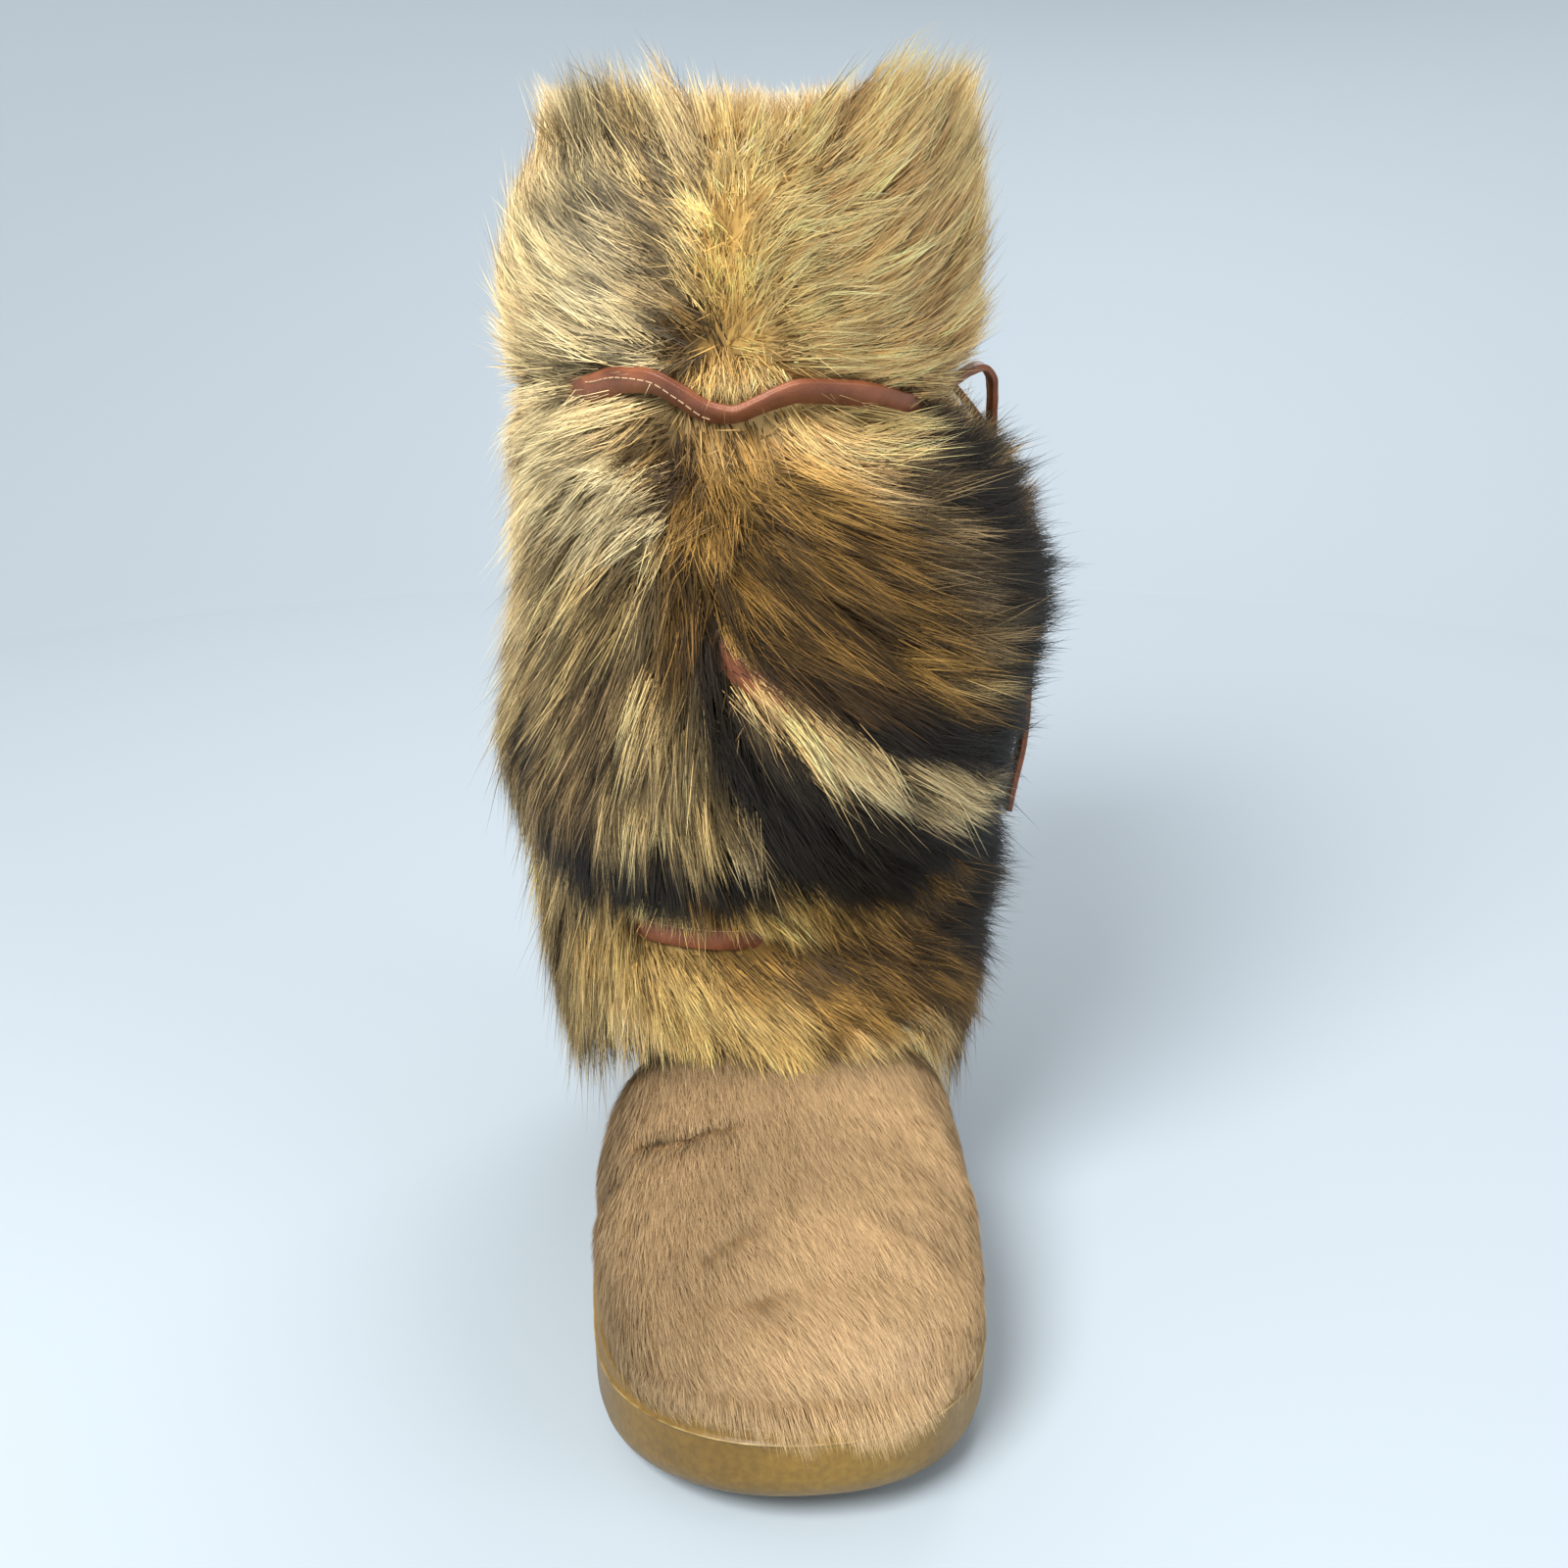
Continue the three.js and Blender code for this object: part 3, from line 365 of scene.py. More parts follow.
# Creases of the foot: station and x at each end, half width, depth (a ridge is negative)
CREASES = [
    (90, -40, 86, -28, 2.6, 2.5), (86, -28, 86, -17, 2.4, 2.0),
    (29, -30, 27, -14, 6, 1.4), (27, -14, 32, 20, 6, 1.2),
    (43, -26, 49, -14, 3, 1.1), (50, 24, 45, 40, 3.5, 1.2), (62, 4, 50, 36, 5, -0.8),
    (88, -54, 84, -48, 2.5, 1.2), (72, -30, 66, 2, 7, 0.7), (112, -46, 92, -53, 5, 1.0),
    (110, 46, 90, 53, 5, 1.0), (78, 30, 66, 48, 4, 0.9),
]
CREASE_CLEAR = 5  # creases stay this far above the lip
CREASE_RIDGE = 0.2  # height of the ridge beside a crease, as a share of its depth

MID_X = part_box("outsole")[0][0] * 1000 + BALL_MEDIAL
TOE_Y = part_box("outsole")[0][1] * 1000


def to_row(points):
    """Points in the boot's millimetres, in the frame's metres."""
    return (np.asarray(points, float) + (MID_X, TOE_Y, 0)) / 1000


def linear(colour):
    """An sRGB colour of 0 to 255 as linear light."""
    c = np.asarray(colour, float) / 255
    return np.where(c <= 0.04045, c / 12.92, ((c + 0.055) / 1.055) ** 2.4)


def curve_with(slope, at, values, x):
    """A curve through rows of values, with a slope at each."""
    i = np.clip(np.searchsorted(at, x) - 1, 0, len(at) - 2)
    span = (at[i + 1] - at[i])[..., None]
    t = np.clip((x - at[i])[..., None] / span, 0, 1)
    start = values[i] * (1 + 2 * t) + slope[i] * span * t
    end = values[i + 1] * (3 - 2 * t) - slope[i + 1] * span * (1 - t)
    return start * (1 - t) ** 2 + end * t**2


def curve_of(at, values, x):
    """Smooth curves through table columns, level wherever two rows agree."""
    at, values, x = np.asarray(at, float), np.asarray(values, float), np.asarray(x, float)
    if values.ndim == 1:
        return curve_of(at, values[:, None], x)[..., 0]
    rise = np.diff(values, axis=0) / np.diff(at)[:, None]
    slope = np.zeros_like(values)
    slope[0], slope[-1] = rise[0], rise[-1]
    before, after = rise[:-1], rise[1:]
    total = np.where(before * after > 0, before + after, 1)
    slope[1:-1] = np.where(before * after > 0, 2 * before * after / total, 0)
    return curve_with(slope, at, values, x)


def rounded(value, roundness):
    """A sine or cosine squared off towards a box."""
    return np.sign(value) * np.abs(value) ** (2 / roundness)


def unit(vectors):
    """Vectors brought to length one."""
    return vectors / np.maximum(np.linalg.norm(vectors, axis=-1, keepdims=True), 1e-9)


def turn_of(skin_turn):
    """Turns wrapped to -180..180."""
    return (skin_turn + 180) % 360 - 180


def lip_height(station):
    """Height of the sole's lip."""
    return curve_of(SOLE_PROFILE[:, 0], SOLE_PROFILE[:, 2], station)


class Skin:
    """A tube of sections on a fine grid, read by turn (degrees from the front) and row."""

    def __init__(self, sections, roundness, rows=200, turns=240, low=None, high=None, lean=0):
        self.last = len(sections) - 1
        self.low, self.high = low or 0, high or self.last
        self.rows, self.turns, self.lean = rows, turns, lean
        table = curve_of(np.arange(len(sections)), sections, np.linspace(0, self.last, rows))
        front, front_z, back, back_z, medial, lateral = table.T[..., None]
        angle = np.linspace(0, 2 * math.pi, turns + 1)
        along, across = (1 + rounded(np.cos(angle), roundness)) / 2, rounded(np.sin(angle), roundness)
        x = np.where(across > 0, lateral, medial) * across
        station = back + (front - back) * along
        z = back_z + (front_z - back_z) * along
        self.points = np.stack([x, station, z], -1)
        self.update()

    def update(self):
        """Normals and steps of the grid, after its points change."""
        wrapped = np.concatenate([self.points[:, -2:-1], self.points, self.points[:, 1:2]], 1)
        around = (wrapped[:, 2:] - wrapped[:, :-2]) / (720 / self.turns)
        up = np.gradient(self.points, axis=0) * (self.rows - 1) / self.last
        self.normals = unit(np.cross(around, up))
        self.around, self.up = around, up

    def at(self, turn, row):
        """Point, normal, steps for one degree round and one row up.

        Past the ends it goes on upright, and leans in below the first row.
        """
        held = np.clip(row, self.low, self.high)
        r = held / self.last * (self.rows - 1)
        t = np.mod(turn, 360) / 360 * self.turns
        i, j = np.minimum(r.astype(int), self.rows - 2), np.minimum(t.astype(int), self.turns - 1)
        a, b = (r - i)[..., None], (t - j)[..., None]

        def read(grid):
            low = grid[i, j] * (1 - b) + grid[i, j + 1] * b
            high = grid[i + 1, j] * (1 - b) + grid[i + 1, j + 1] * b
            return low * (1 - a) + high * a

        point, up, normal = read(self.points), read(self.up), unit(read(self.normals))
        beyond = ((row - held) * np.linalg.norm(up, axis=-1))[..., None]
        point = point + beyond * (0, 0, 1)
        point = point + self.lean * np.minimum(beyond, 0) * unit(normal * (1, 1, 0))
        return point, normal, read(self.around), up

    def roots(self, count, keep):
        """Random places by area, where keep(points, turns) is true."""
        area = np.linalg.norm(np.cross(self.around, self.up), axis=-1)
        turn = np.linspace(0, 360, self.turns + 1)
        row = np.linspace(0, self.last, self.rows)
        signed = np.where(turn > 180, turn - 360, turn)
        fits = keep(self.points, np.broadcast_to(signed, area.shape))
        fits = fits & (row >= self.low)[:, None] & (row <= self.high)[:, None]
        weight = np.where(fits, area, 0)[:-1, :-1].ravel()
        cell = random.choice(weight.size, count, p=weight / weight.sum())
        i, j = np.divmod(cell, self.turns)
        row_step, turn_step = self.last / (self.rows - 1), 360 / self.turns
        return (j + random.random(count)) * turn_step, (i + random.random(count)) * row_step


def add_piece(name, mesh, material):
    """A mesh of the boot in the scene, riding on its body."""
    obj = bpy.data.objects.new(name, mesh)
    bpy.context.collection.objects.link(obj)
    mesh.materials.append(material)
    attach(obj, BODY)
    return obj


def new_object(name, vertices, faces, material, slot, smooth=True):
    """A mesh piece of the boot from points in millimetres."""
    mesh = bpy.data.meshes.new(name)
    mesh.from_pydata(to_row(vertices).tolist(), [], [list(map(int, f)) for f in faces])
    mesh.validate()
    mesh.update()
    mesh.polygons.foreach_set("use_smooth", [smooth] * len(mesh.polygons))
    return add_piece(name, mesh, material)


def set_tint(mesh, colours):
    """Colours of a mesh's points, kept with it."""
    rgba = np.column_stack([colours.reshape(-1, 3), np.ones(colours.size // 3)])
    tint = mesh.color_attributes.new("tint", "FLOAT_COLOR", "POINT")
    tint.data.foreach_set("color", rgba.astype(np.float32).ravel())


def grid_faces(rows, columns, wrap):
    """Quads of a grid of points, joined round its columns if wrap is true."""
    faces = []
    for r in range(rows - 1):
        for c in range(columns if wrap else columns - 1):
            d = (c + 1) % columns
            faces.append((r * columns + c, r * columns + d, (r + 1) * columns + d, (r + 1) * columns + c))
    return faces


# Materials
class Finish:
    """A node material, put together step by step."""

    def __init__(self, name, roughness, specular):
        self.material = bpy.data.materials.new(name)
        self.material.use_nodes = True
        self.nodes, self.links = self.material.node_tree.nodes, self.material.node_tree.links
        self.shader = self.nodes["Principled BSDF"].inputs
        self.shader["Roughness"].default_value = roughness
        self.shader["Specular IOR Level"].default_value = specular

    def noise(self, scale, detail=4.0, kind="ShaderNodeTexNoise"):
        """A noise in metres of the boot's own space."""
        place = self.nodes.new("ShaderNodeTexCoord")
        texture = self.nodes.new(kind)
        texture.inputs["Scale"].default_value = scale
        if "Detail" in texture.inputs:
            texture.inputs["Detail"].default_value = detail
        self.links.new(place.outputs["Object"], texture.inputs["Vector"])
        return texture.outputs

    def attribute(self, name):
        """Values that come with the mesh."""
        node = self.nodes.new("ShaderNodeAttribute")
        node.attribute_name = name
        return node.outputs

    def ramp(self, source, *stops):
        """Colours along a value: two (place, sRGB) stops."""
        node = self.nodes.new("ShaderNodeValToRGB")
        for element, (place, colour) in zip(node.color_ramp.elements, stops):
            element.position = place
            element.color = (*linear(colour), 1)
        self.links.new(source, node.inputs["Fac"])
        return node.outputs["Color"]

    def mix(self, factor, first, second, mode="MIX"):
        """Two colours mixed by a factor, which is a number or another node's value."""
        node = self.nodes.new("ShaderNodeMix")
        node.data_type, node.blend_type = "RGBA", mode
        if isinstance(factor, float):
            node.inputs["Factor"].default_value = factor
        else:
            self.links.new(factor, node.inputs["Factor"])
        self.links.new(first, node.inputs["A"])
        self.links.new(second, node.inputs["B"])
        return node.outputs["Result"]

    def bump(self, height, distance, strength):
        node = self.nodes.new("ShaderNodeBump")
        node.inputs["Distance"].default_value = distance
        node.inputs["Strength"].default_value = strength
        self.links.new(height, node.inputs["Height"])
        self.links.new(node.outputs["Normal"], self.shader["Normal"])

    def roughness(self, source, smoothest, roughest):
        """Roughness that follows a value of 0 to 1."""
        node = self.nodes.new("ShaderNodeMapRange")
        node.inputs["To Min"].default_value = smoothest
        node.inputs["To Max"].default_value = roughest
        self.links.new(source, node.inputs["Value"])
        self.links.new(node.outputs["Result"], self.shader["Roughness"])

    def colour(self, source):
        self.links.new(source, self.shader["Base Color"])


def hair_material(name, roughness):
    """Hair: its colour comes with each strand."""
    finish = Finish(name, roughness, 0.22)
    finish.colour(finish.attribute("tint")["Color"])
    return finish.material


def rubber_material():
    """Gum rubber: honey clouds, small pale specks, a pale parting line and a pebbled satin face."""
    finish = Finish("gum_rubber", 0.42, 0.45)
    cloud = finish.noise(24, 6)["Fac"]
    honey = finish.ramp(cloud, (0.3, (103, 78, 26)), (0.7, (137, 107, 42)))
    pebble = finish.noise(480, 2)["Fac"]
    mottle = finish.ramp(pebble, (0.34, (228, 225, 218)), (0.68, WHITE))
    colour = finish.mix(1.0, honey, mottle, "MULTIPLY")
    cell = finish.noise(150, kind="ShaderNodeTexVoronoi")
    speck = finish.ramp(cell["Distance"], (0.05, WHITE), (0.1, BLACK))
    pale = finish.ramp(cell["Color"], (0.3, (150, 124, 62)), (0.8, (232, 212, 158)))
    colour = finish.mix(speck, colour, pale)
    line = finish.ramp(cloud, (0.3, (168, 142, 84)), (0.7, (204, 178, 120)))
    finish.colour(finish.mix(finish.attribute("parting")["Fac"], colour, line))
    finish.roughness(finish.noise(60, 6)["Fac"], 0.3, 0.56)
    finish.bump(pebble, 0.0006, 0.5)
    return finish.material


def cloth_material(name, dark, light, scale, roughness, depth):
    """Felt, fleece, hide or thread: two tones in a fine noise, with a bump."""
    finish = Finish(name, roughness, 0.15)
    tone = finish.noise(scale, 6)["Fac"]
    finish.colour(finish.ramp(tone, (0.3, dark), (0.7, light)))
    finish.bump(tone, depth, 0.8)
    return finish.material


def leather_material():
    """Smooth red-brown leather: faint clouds and a fine grain."""
    finish = Finish("lace_leather", 0.45, 0.4)
    cloud = finish.noise(90, 5)["Fac"]
    finish.colour(finish.ramp(cloud, (0.3, (98, 54, 34)), (0.7, (142, 84, 54))))
    grain = finish.noise(900, kind="ShaderNodeTexVoronoi")["Distance"]
    finish.bump(grain, 0.0002, 0.4)
    return finish.material


RUBBER = rubber_material()
HIDE = cloth_material("hair_hide", (108, 82, 52), (150, 120, 82), 260, 0.8, 0.0005)
WOOL = hair_material("fur_hide", 0.9)
FLEECE = cloth_material("fleece", (196, 178, 146), (232, 220, 196), 340, 0.95, 0.002)
FELT = cloth_material("felt", (190, 178, 156), (222, 212, 194), 600, 0.95, 0.0006)
LEATHER = leather_material()
THREADS = cloth_material("thread", (176, 140, 104), (214, 184, 148), 1500, 0.7, 0.0002)
FUR = hair_material("long_fur", 0.55)
SHORT_HAIR = hair_material("short_hair", 0.5)


# Sole
def end_round(distance, length, squareness):
    """Share of the full width at a distance from a rounded end."""
    left = np.maximum(0, 1 - distance / length)
    return np.maximum(0, 1 - left**squareness) ** (1 / squareness)


def side_height(place, above, below):
    """Height of a row of the sole's side, from the ground face or from the lip."""
    if math.isnan(above):
        return lip_height(place) - below
    return curve_of(SOLE_PROFILE[:, 0], SOLE_PROFILE[:, 1], place) + above


def sole_ring(shares, inset, above, below):
    """One closed line round the sole: medial side from the toe back, then lateral forward."""
    station = shares * SOLE_LENGTH
    half = curve_of(SOLE_OUTLINE[:, 0], SOLE_OUTLINE[:, 1:], station) - inset
    half = half * (
        end_round(station, TOE_CAP, TOE_SQUARENESS)
        * end_round(SOLE_LENGTH - station, HEEL_CAP, HEEL_SQUARENESS)
    )[:, None]
    place = inset + shares * (SOLE_LENGTH - 2 * inset)
    z = side_height(place, above, below)
    medial = np.stack([-half[:, 0], place, z], 1)
    lateral = np.stack([half[:, 1], place, z], 1)
    return np.concatenate([medial, lateral[::-1]])


def make_sole():
    """The moulded sole, with the worn parting line of its mould."""
    stations, end_gap = 110, 0.12  # they crowd at toe and heel, and stop this part of a step short
    angle = np.pi * (np.arange(stations) + end_gap) / (stations - 1 + 2 * end_gap)
    shares = (1 - np.cos(angle)) / 2
    rings = [sole_ring(shares, *row) for row in SOLE_SIDE]
    count = 2 * stations
    faces = grid_faces(len(rings), count, True)
    top = (len(rings) - 1) * count
    for i in range(stations - 1):
        faces.append((i, count - 1 - i, count - 2 - i, i + 1))
        faces.append((top + i, top + i + 1, top + count - 2 - i, top + count - 1 - i))
    faces = [face[::-1] for face in faces]
    sole = new_object("sole_rubber", np.concatenate(rings), faces, RUBBER, "gum_rubber")
    worn = np.zeros((len(rings), count), np.float32)
    worn[PARTING_ROWS, :] = np.clip(random.normal(*PARTING_WEAR, count), 0, 1)
    flash = sole.data.attributes.new("parting", "FLOAT", "POINT")
    flash.data.foreach_set("value", worn.ravel())
    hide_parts("outsole")


# Foot
def crease_press(points):
    """How deep the foot's creases press at these points, and how much shade they hold."""
    depth, shade = np.zeros(points.shape[:-1]), np.zeros(points.shape[:-1])
    flat = points[..., [1, 0]]
    on_top = points[..., 2] > lip_height(points[..., 1]) + CREASE_CLEAR
    for s0, x0, s1, x1, half, deep in CREASES:
        start, along = np.array([s0, x0]), np.array([s1 - s0, x1 - x0], float)
        share = np.clip(((flat - start) @ along) / (along @ along), 0, 1)
        away = np.linalg.norm(flat - start - share[..., None] * along, axis=-1)
        trough, ridge = np.exp(-((away / half) ** 2)), np.exp(-(((away - 2 * half) / half) ** 2))
        depth += deep * (trough - CREASE_RIDGE * ridge) * on_top
        shade += np.clip(deep / half, 0, 1) * trough * on_top
    return depth, np.clip(shade, 0, 1)


def make_foot_skin():
    """The foot's form up to the ankle, with its creases."""
    skin = Skin(LAST_SECTIONS[:FOOT_ROWS], LAST_ROUNDNESS, rows=110, turns=130)
    skin.points -= crease_press(skin.points)[0][..., None] * skin.normals
    skin.update()
    return skin


def make_upper(skin):
    """The lasted hide: its outer face, turned over at the collar into a lining."""
    collar = np.argmax(skin.points[..., 2].min(1) > UPPER_COLLAR - COLLAR_TUCK)
    outer = (skin.points - HAIR_DEPTH * skin.normals)[: collar + 1, :-1]
    inner = (skin.points - UPPER_WALL * skin.normals)[: collar + 1, :-1]
    rings = np.concatenate([outer, inner[::-1]])
    bed = lip_height(rings[..., 1]) - CUP_DEPTH + BED_GAP
    bed[len(outer) :] += LINING_STEP
    rings[..., 2] = np.maximum(rings[..., 2], bed)
    faces = grid_faces(len(rings), rings.shape[1], True)
    upper = new_object("upper_hide", rings.reshape(-1, 3), faces, HIDE, "hair_hide")
    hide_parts("upper")


# Shaft
def make_shaft():
    """The fur's hide and the leg's lining as one wall, rounded over at the rim."""
    leg = Skin(LAST_SECTIONS[LEG_ROW:], LAST_ROUNDNESS, rows=60, turns=110)
    fine = Skin(FUR_SECTIONS, FUR_ROUNDNESS, rows=90, turns=110)
    hide = fine.points - FUR_DEPTH * fine.normals
    hide = hide[np.linspace(0, fine.last, len(hide)) <= RIM_ROW]
    lining = (leg.points + LINING_GAP * leg.normals)[leg.points[..., 2].max(1) < RIM - LINING_DROP]
    rim = (hide[-1] + lining[-1]) / 2 + (0, 0, RIM_CROWN)
    rings = np.concatenate([hide, rim[None], lining[::-1]])[:, :-1]
    columns = rings.shape[1]
    faces = grid_faces(len(rings), columns, True)
    shaft = new_object("shaft_hide", rings.reshape(-1, 3), faces, WOOL, "long_fur")
    shaft.data.materials.append(FLEECE)
    inner_from = (len(hide) - 1) * columns
    index = [1 if i >= inner_from else 0 for i in range(len(shaft.data.polygons))]
    shaft.data.polygons.foreach_set("material_index", index)
    turn = np.tile(turn_of(np.arange(columns) * 360 / columns), len(rings))
    coat, dark = coat_at(turn, rings[..., 2].ravel())
    # Painted shade: the hide is tinted a dark share of its coat, for the shadow deep in the fur
    set_tint(shaft.data, HIDE_SHADE * coat[:, 1] * (1 - HIDE_DARK * dark[:, None]))
    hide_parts("shaft")
    return leg, hide[-1], lining[-1]


# Hair
def ribbons(name, points, widths, tints, normals, material):
    """Thin tapering strips: one strand for each row of points, coloured along its length."""
    count, steps = points.shape[:2]
    along = unit(np.gradient(points, axis=1))
    twist = random.uniform(-RIBBON_TWIST, RIBBON_TWIST, (count, 1, 1))
    side = unit(np.cross(along, normals))
    across = side * np.cos(twist) + np.cross(along, side) * np.sin(twist)
    taper = np.linspace(1, RIBBON_TAPER, steps)[None, :, None] * widths[:, None, None] / 2
    left, right = points - across * taper, points + across * taper
    body = np.stack([left[:, :-1], right[:, :-1]], 2).reshape(count, -1, 3)
    mesh, loops = strand_mesh(name, np.concatenate([body, points[:, -1:]], 1))
    set_tint(mesh, paired(tints))
    bake_map(mesh, tints, loops)
    shade = unit(normals - along * np.sum(normals * along, -1, keepdims=True) + RIBBON_ROUNDING * across)
    mesh.normals_split_custom_set_from_vertices(paired(shade).reshape(-1, 3).tolist())
    add_piece(name, mesh, material)


def paired(grid):
    """Values along strands, given to both edges of each and once to its tip."""
    return np.concatenate([np.repeat(grid[:, :-1], 2, axis=1), grid[:, -1:]], 1)


def strand_mesh(name, vertices):
    """A mesh of strands whose points run in pairs to a single tip, and the points of its faces."""
    count, per = vertices.shape[:2]
    quads = [(2 * k, 2 * k + 1, 2 * k + 3, 2 * k + 2) for k in range(per // 2 - 1)]
    tip = (per - 3, per - 2, per - 1)
    pattern = np.array([i for quad in quads for i in quad] + list(tip))
    loops = (pattern[None] + (np.arange(count) * per)[:, None]).ravel()
    sizes = np.tile([4] * len(quads) + [3], count)
    starts = np.concatenate([[0], np.cumsum(sizes)[:-1]])
    mesh = bpy.data.meshes.new(name)
    mesh.vertices.add(count * per)
    mesh.vertices.foreach_set("co", to_row(vertices.reshape(-1, 3)).ravel())
    mesh.loops.add(len(loops))
    mesh.loops.foreach_set("vertex_index", loops.astype(np.int32))
    mesh.polygons.add(len(sizes))
    mesh.polygons.foreach_set("loop_start", starts.astype(np.int32))
    mesh.polygons.foreach_set("use_smooth", np.ones(len(sizes), bool))
    mesh.update(calc_edges=True)
    return mesh, loops


def bake_map(mesh, tints, loops):
    """A map whose columns hold strands of like colour, laid root to tip."""
    columns, edges, ends = 256, (0.15, 0.85), (0.03, 0.97)  # a strand's place in its column
    count, steps = tints.shape[:2]
    per = 2 * steps - 1
    middle = tints[:, steps // 2].sum(1)
    column = np.argsort(np.argsort(middle)) * columns // count
    side = np.tile(edges, steps)[:per]
    side[-1] = 0.5
    u = (column[:, None] + side[None]) / columns
    v = np.broadcast_to(np.repeat(np.linspace(*ends, steps), 2)[:per], (count, per))
    flat = np.stack([u, v], -1).reshape(-1, 2)
    layer = mesh.uv_layers.new(name=BAKE_MAP)
    layer.uv.foreach_set("vector", flat[loops].astype(np.float32).ravel())


def spot_weights(table, turn, height):
    """How much each row of a table of places counts at a turn and height."""
    spots = np.array([row[:4] for row in table], float)
    away = (turn[:, None] - spots[:, 0] + 180) % 360 - 180
    rise = height[:, None] - spots[:, 1]
    weight = np.exp(-((away / spots[:, 2]) ** 2) - (rise / spots[:, 3]) ** 2) + 1e-7
    return weight / weight.sum(1, keepdims=True)


def lie_at(turn, height):
    """Heading in degrees and length of the fur at these places."""
    weight = spot_weights(LIES, turn, height)
    heading = np.radians([row[4] for row in LIES])
    length = weight @ np.array([row[5] for row in LIES], float)
    return np.degrees(np.arctan2(weight @ np.sin(heading), weight @ np.cos(heading))), length


COAT_TABLE = np.array([[linear(shade) for shade in COATS[row[4]][:3]] for row in PATCHES])
DARK_SHARE = np.array([COATS[row[4]][3] for row in PATCHES])
DARK_COAT = np.stack([linear(DARK_ROOT), linear(DARK_MIDDLE), linear(DARK_TIP)])
COAT_STOPS = np.array([0, 0.55, 1.0])  # where a coat's root, middle and tip colours sit along a strand
# Painted shade along a strand, at root, middle and tip: darkest at the root, where the fur shades itself
ROOT_SHADE = np.array([0.55, 0.95, 1.05])
# Root and tip colours of short hair: the foot's darker roots are painted shade between the hairs
FOOT_HAIR = linear((136, 105, 68)), linear((208, 179, 137))
QUARTER_HAIR = linear((104, 88, 66)), linear((166, 146, 116))
FLEECE_HAIR = linear((196, 174, 134)), linear((238, 226, 200))
Spot = namedtuple("Spot", "point normal around up turn")
ShortHair = namedtuple("ShortHair", "widths lengths lift depth mottle material slot")


def coat_at(turn, height):
    """Root, middle and tip colours at these places, and the share of hairs with dark ends."""
    weight = spot_weights(PATCHES, turn, height) ** PATCH_FOCUS
    weight = weight / weight.sum(1, keepdims=True)
    pick = (weight.cumsum(1) > random.random((len(turn), 1))).argmax(1)
    blend = np.einsum("np,pkc->nkc", weight, COAT_TABLE)
    coat = OWN_PATCH * COAT_TABLE[pick] + (1 - OWN_PATCH) * blend
    return coat, OWN_PATCH * DARK_SHARE[pick] + (1 - OWN_PATCH) * weight @ DARK_SHARE


def keep_close(points):
    """Hair eased off over the rim and on the outer side, so that no tip stands far out."""
    x, station, z = np.moveaxis(points, -1, 0)
    turn = np.degrees(np.arctan2(x / RIM_HALF_WIDTH, (SHAFT_MIDDLE - station) / RIM_HALF_DEPTH))
    limit = np.interp(turn, *TIP_LIMITS.T) + random.uniform(*TIP_SCATTER, (len(points), 1))
    return np.stack([eased(x, SIDE_LIMIT, SIDE_EASE), station, eased(z, limit, TIP_EASE)], -1)


def eased(value, limit, ease):
    """Values slowed over the last stretch below a limit, which they don't pass."""
    over = np.maximum(value - limit + ease, 0)
    return value - over + ease * np.tanh(over / ease)


def swelling(turn, height):
    """How far the fur stands out beyond its usual face."""
    out = np.zeros_like(turn)
    for middle, level, turn_spread, height_spread, rise in SWELLS:
        away, over = (turn - middle) / turn_spread, (height - level) / height_spread
        out += rise * np.exp(-(away**2) - over**2)
    return out


def lock_paths(skin, turn, row, heading, length, lift):
    """Middle lines of locks: they leave the hide, bend over along the skin and droop."""
    heading = np.radians(heading)
    walk = np.stack([np.cos(heading), np.sin(heading)], -1)
    height = np.full(len(turn), -float(FUR_DEPTH))
    stride = length / LOCK_STEPS
    lines, normals, sides, turns = [], [], [], []
    for share in np.linspace(0, 1, LOCK_STEPS + 1):
        point, normal, around, up = skin.at(turn, row)
        swell = share * swelling(turn_of(turn), point[:, 2])
        lines.append(point + (height + swell)[:, None] * normal)
        normals.append(normal)
        sides.append(np.stack([unit(around), unit(up)], 1))
        turns.append(turn_of(turn))
        rise = np.sin(lift * (1 - share) ** LIFT_FADE)
        level = np.sqrt(1 - rise**2)
        way = unit(walk - (0, DROOP * share))
        turn = turn + stride * level * way[:, 0] / np.linalg.norm(around, axis=-1)
        row = row + stride * level * way[:, 1] / np.linalg.norm(up, axis=-1)
        height = height + stride * rise
    return np.stack(lines, 1), np.stack(normals, 1), np.stack(sides, 1), np.stack(turns, 1)


def parting_gap(turn, height, parting):
    """Distance across the fur from places to one stretch of open lace."""
    t0, z0, t1, z1, _ = parting
    along = np.array([(t1 - t0) * DEGREE_WIDTH, z1 - z0])
    flat = np.stack([(turn - t0) * DEGREE_WIDTH, height - z0], -1)
    part = np.clip(flat @ along / (along @ along), 0, 1)
    return np.linalg.norm(flat - part[..., None] * along, axis=-1)


def first_share(inside):
    """Share of each lock that comes before its first step inside."""
    steps = inside.shape[1] - 1
    first = np.where(inside.any(1), inside.argmax(1), 2 * steps)
    return np.clip((first - 1) / steps, 0, 1)


def clear_share(lines, turns):
    """How much of each lock can show before it would lie over a stretch of open lace."""
    place = np.linspace(0, LOCK_STEPS, 5 * LOCK_STEPS + 1)
    i = np.minimum(place.astype(int), LOCK_STEPS - 1)
    part = place - i
    turn = turns[:, i] * (1 - part) + turns[:, i + 1] * part
    height = lines[:, i, 2] * (1 - part) + lines[:, i + 1, 2] * part
    share = np.ones(len(lines))
    for parting in PARTINGS:
        share = np.minimum(share, first_share(parting_gap(turn, height, parting) < parting[4]))
    hanging = smooth_route(LACE_END_ROUTE[LACE_END_SEEN:] + (0, TIE_STATION, 0), 30)[0]
    gap = np.linalg.norm(lines[:, :, None] - hanging, axis=-1).min(2)
    return np.minimum(share, first_share(gap < LACE_CLEAR))


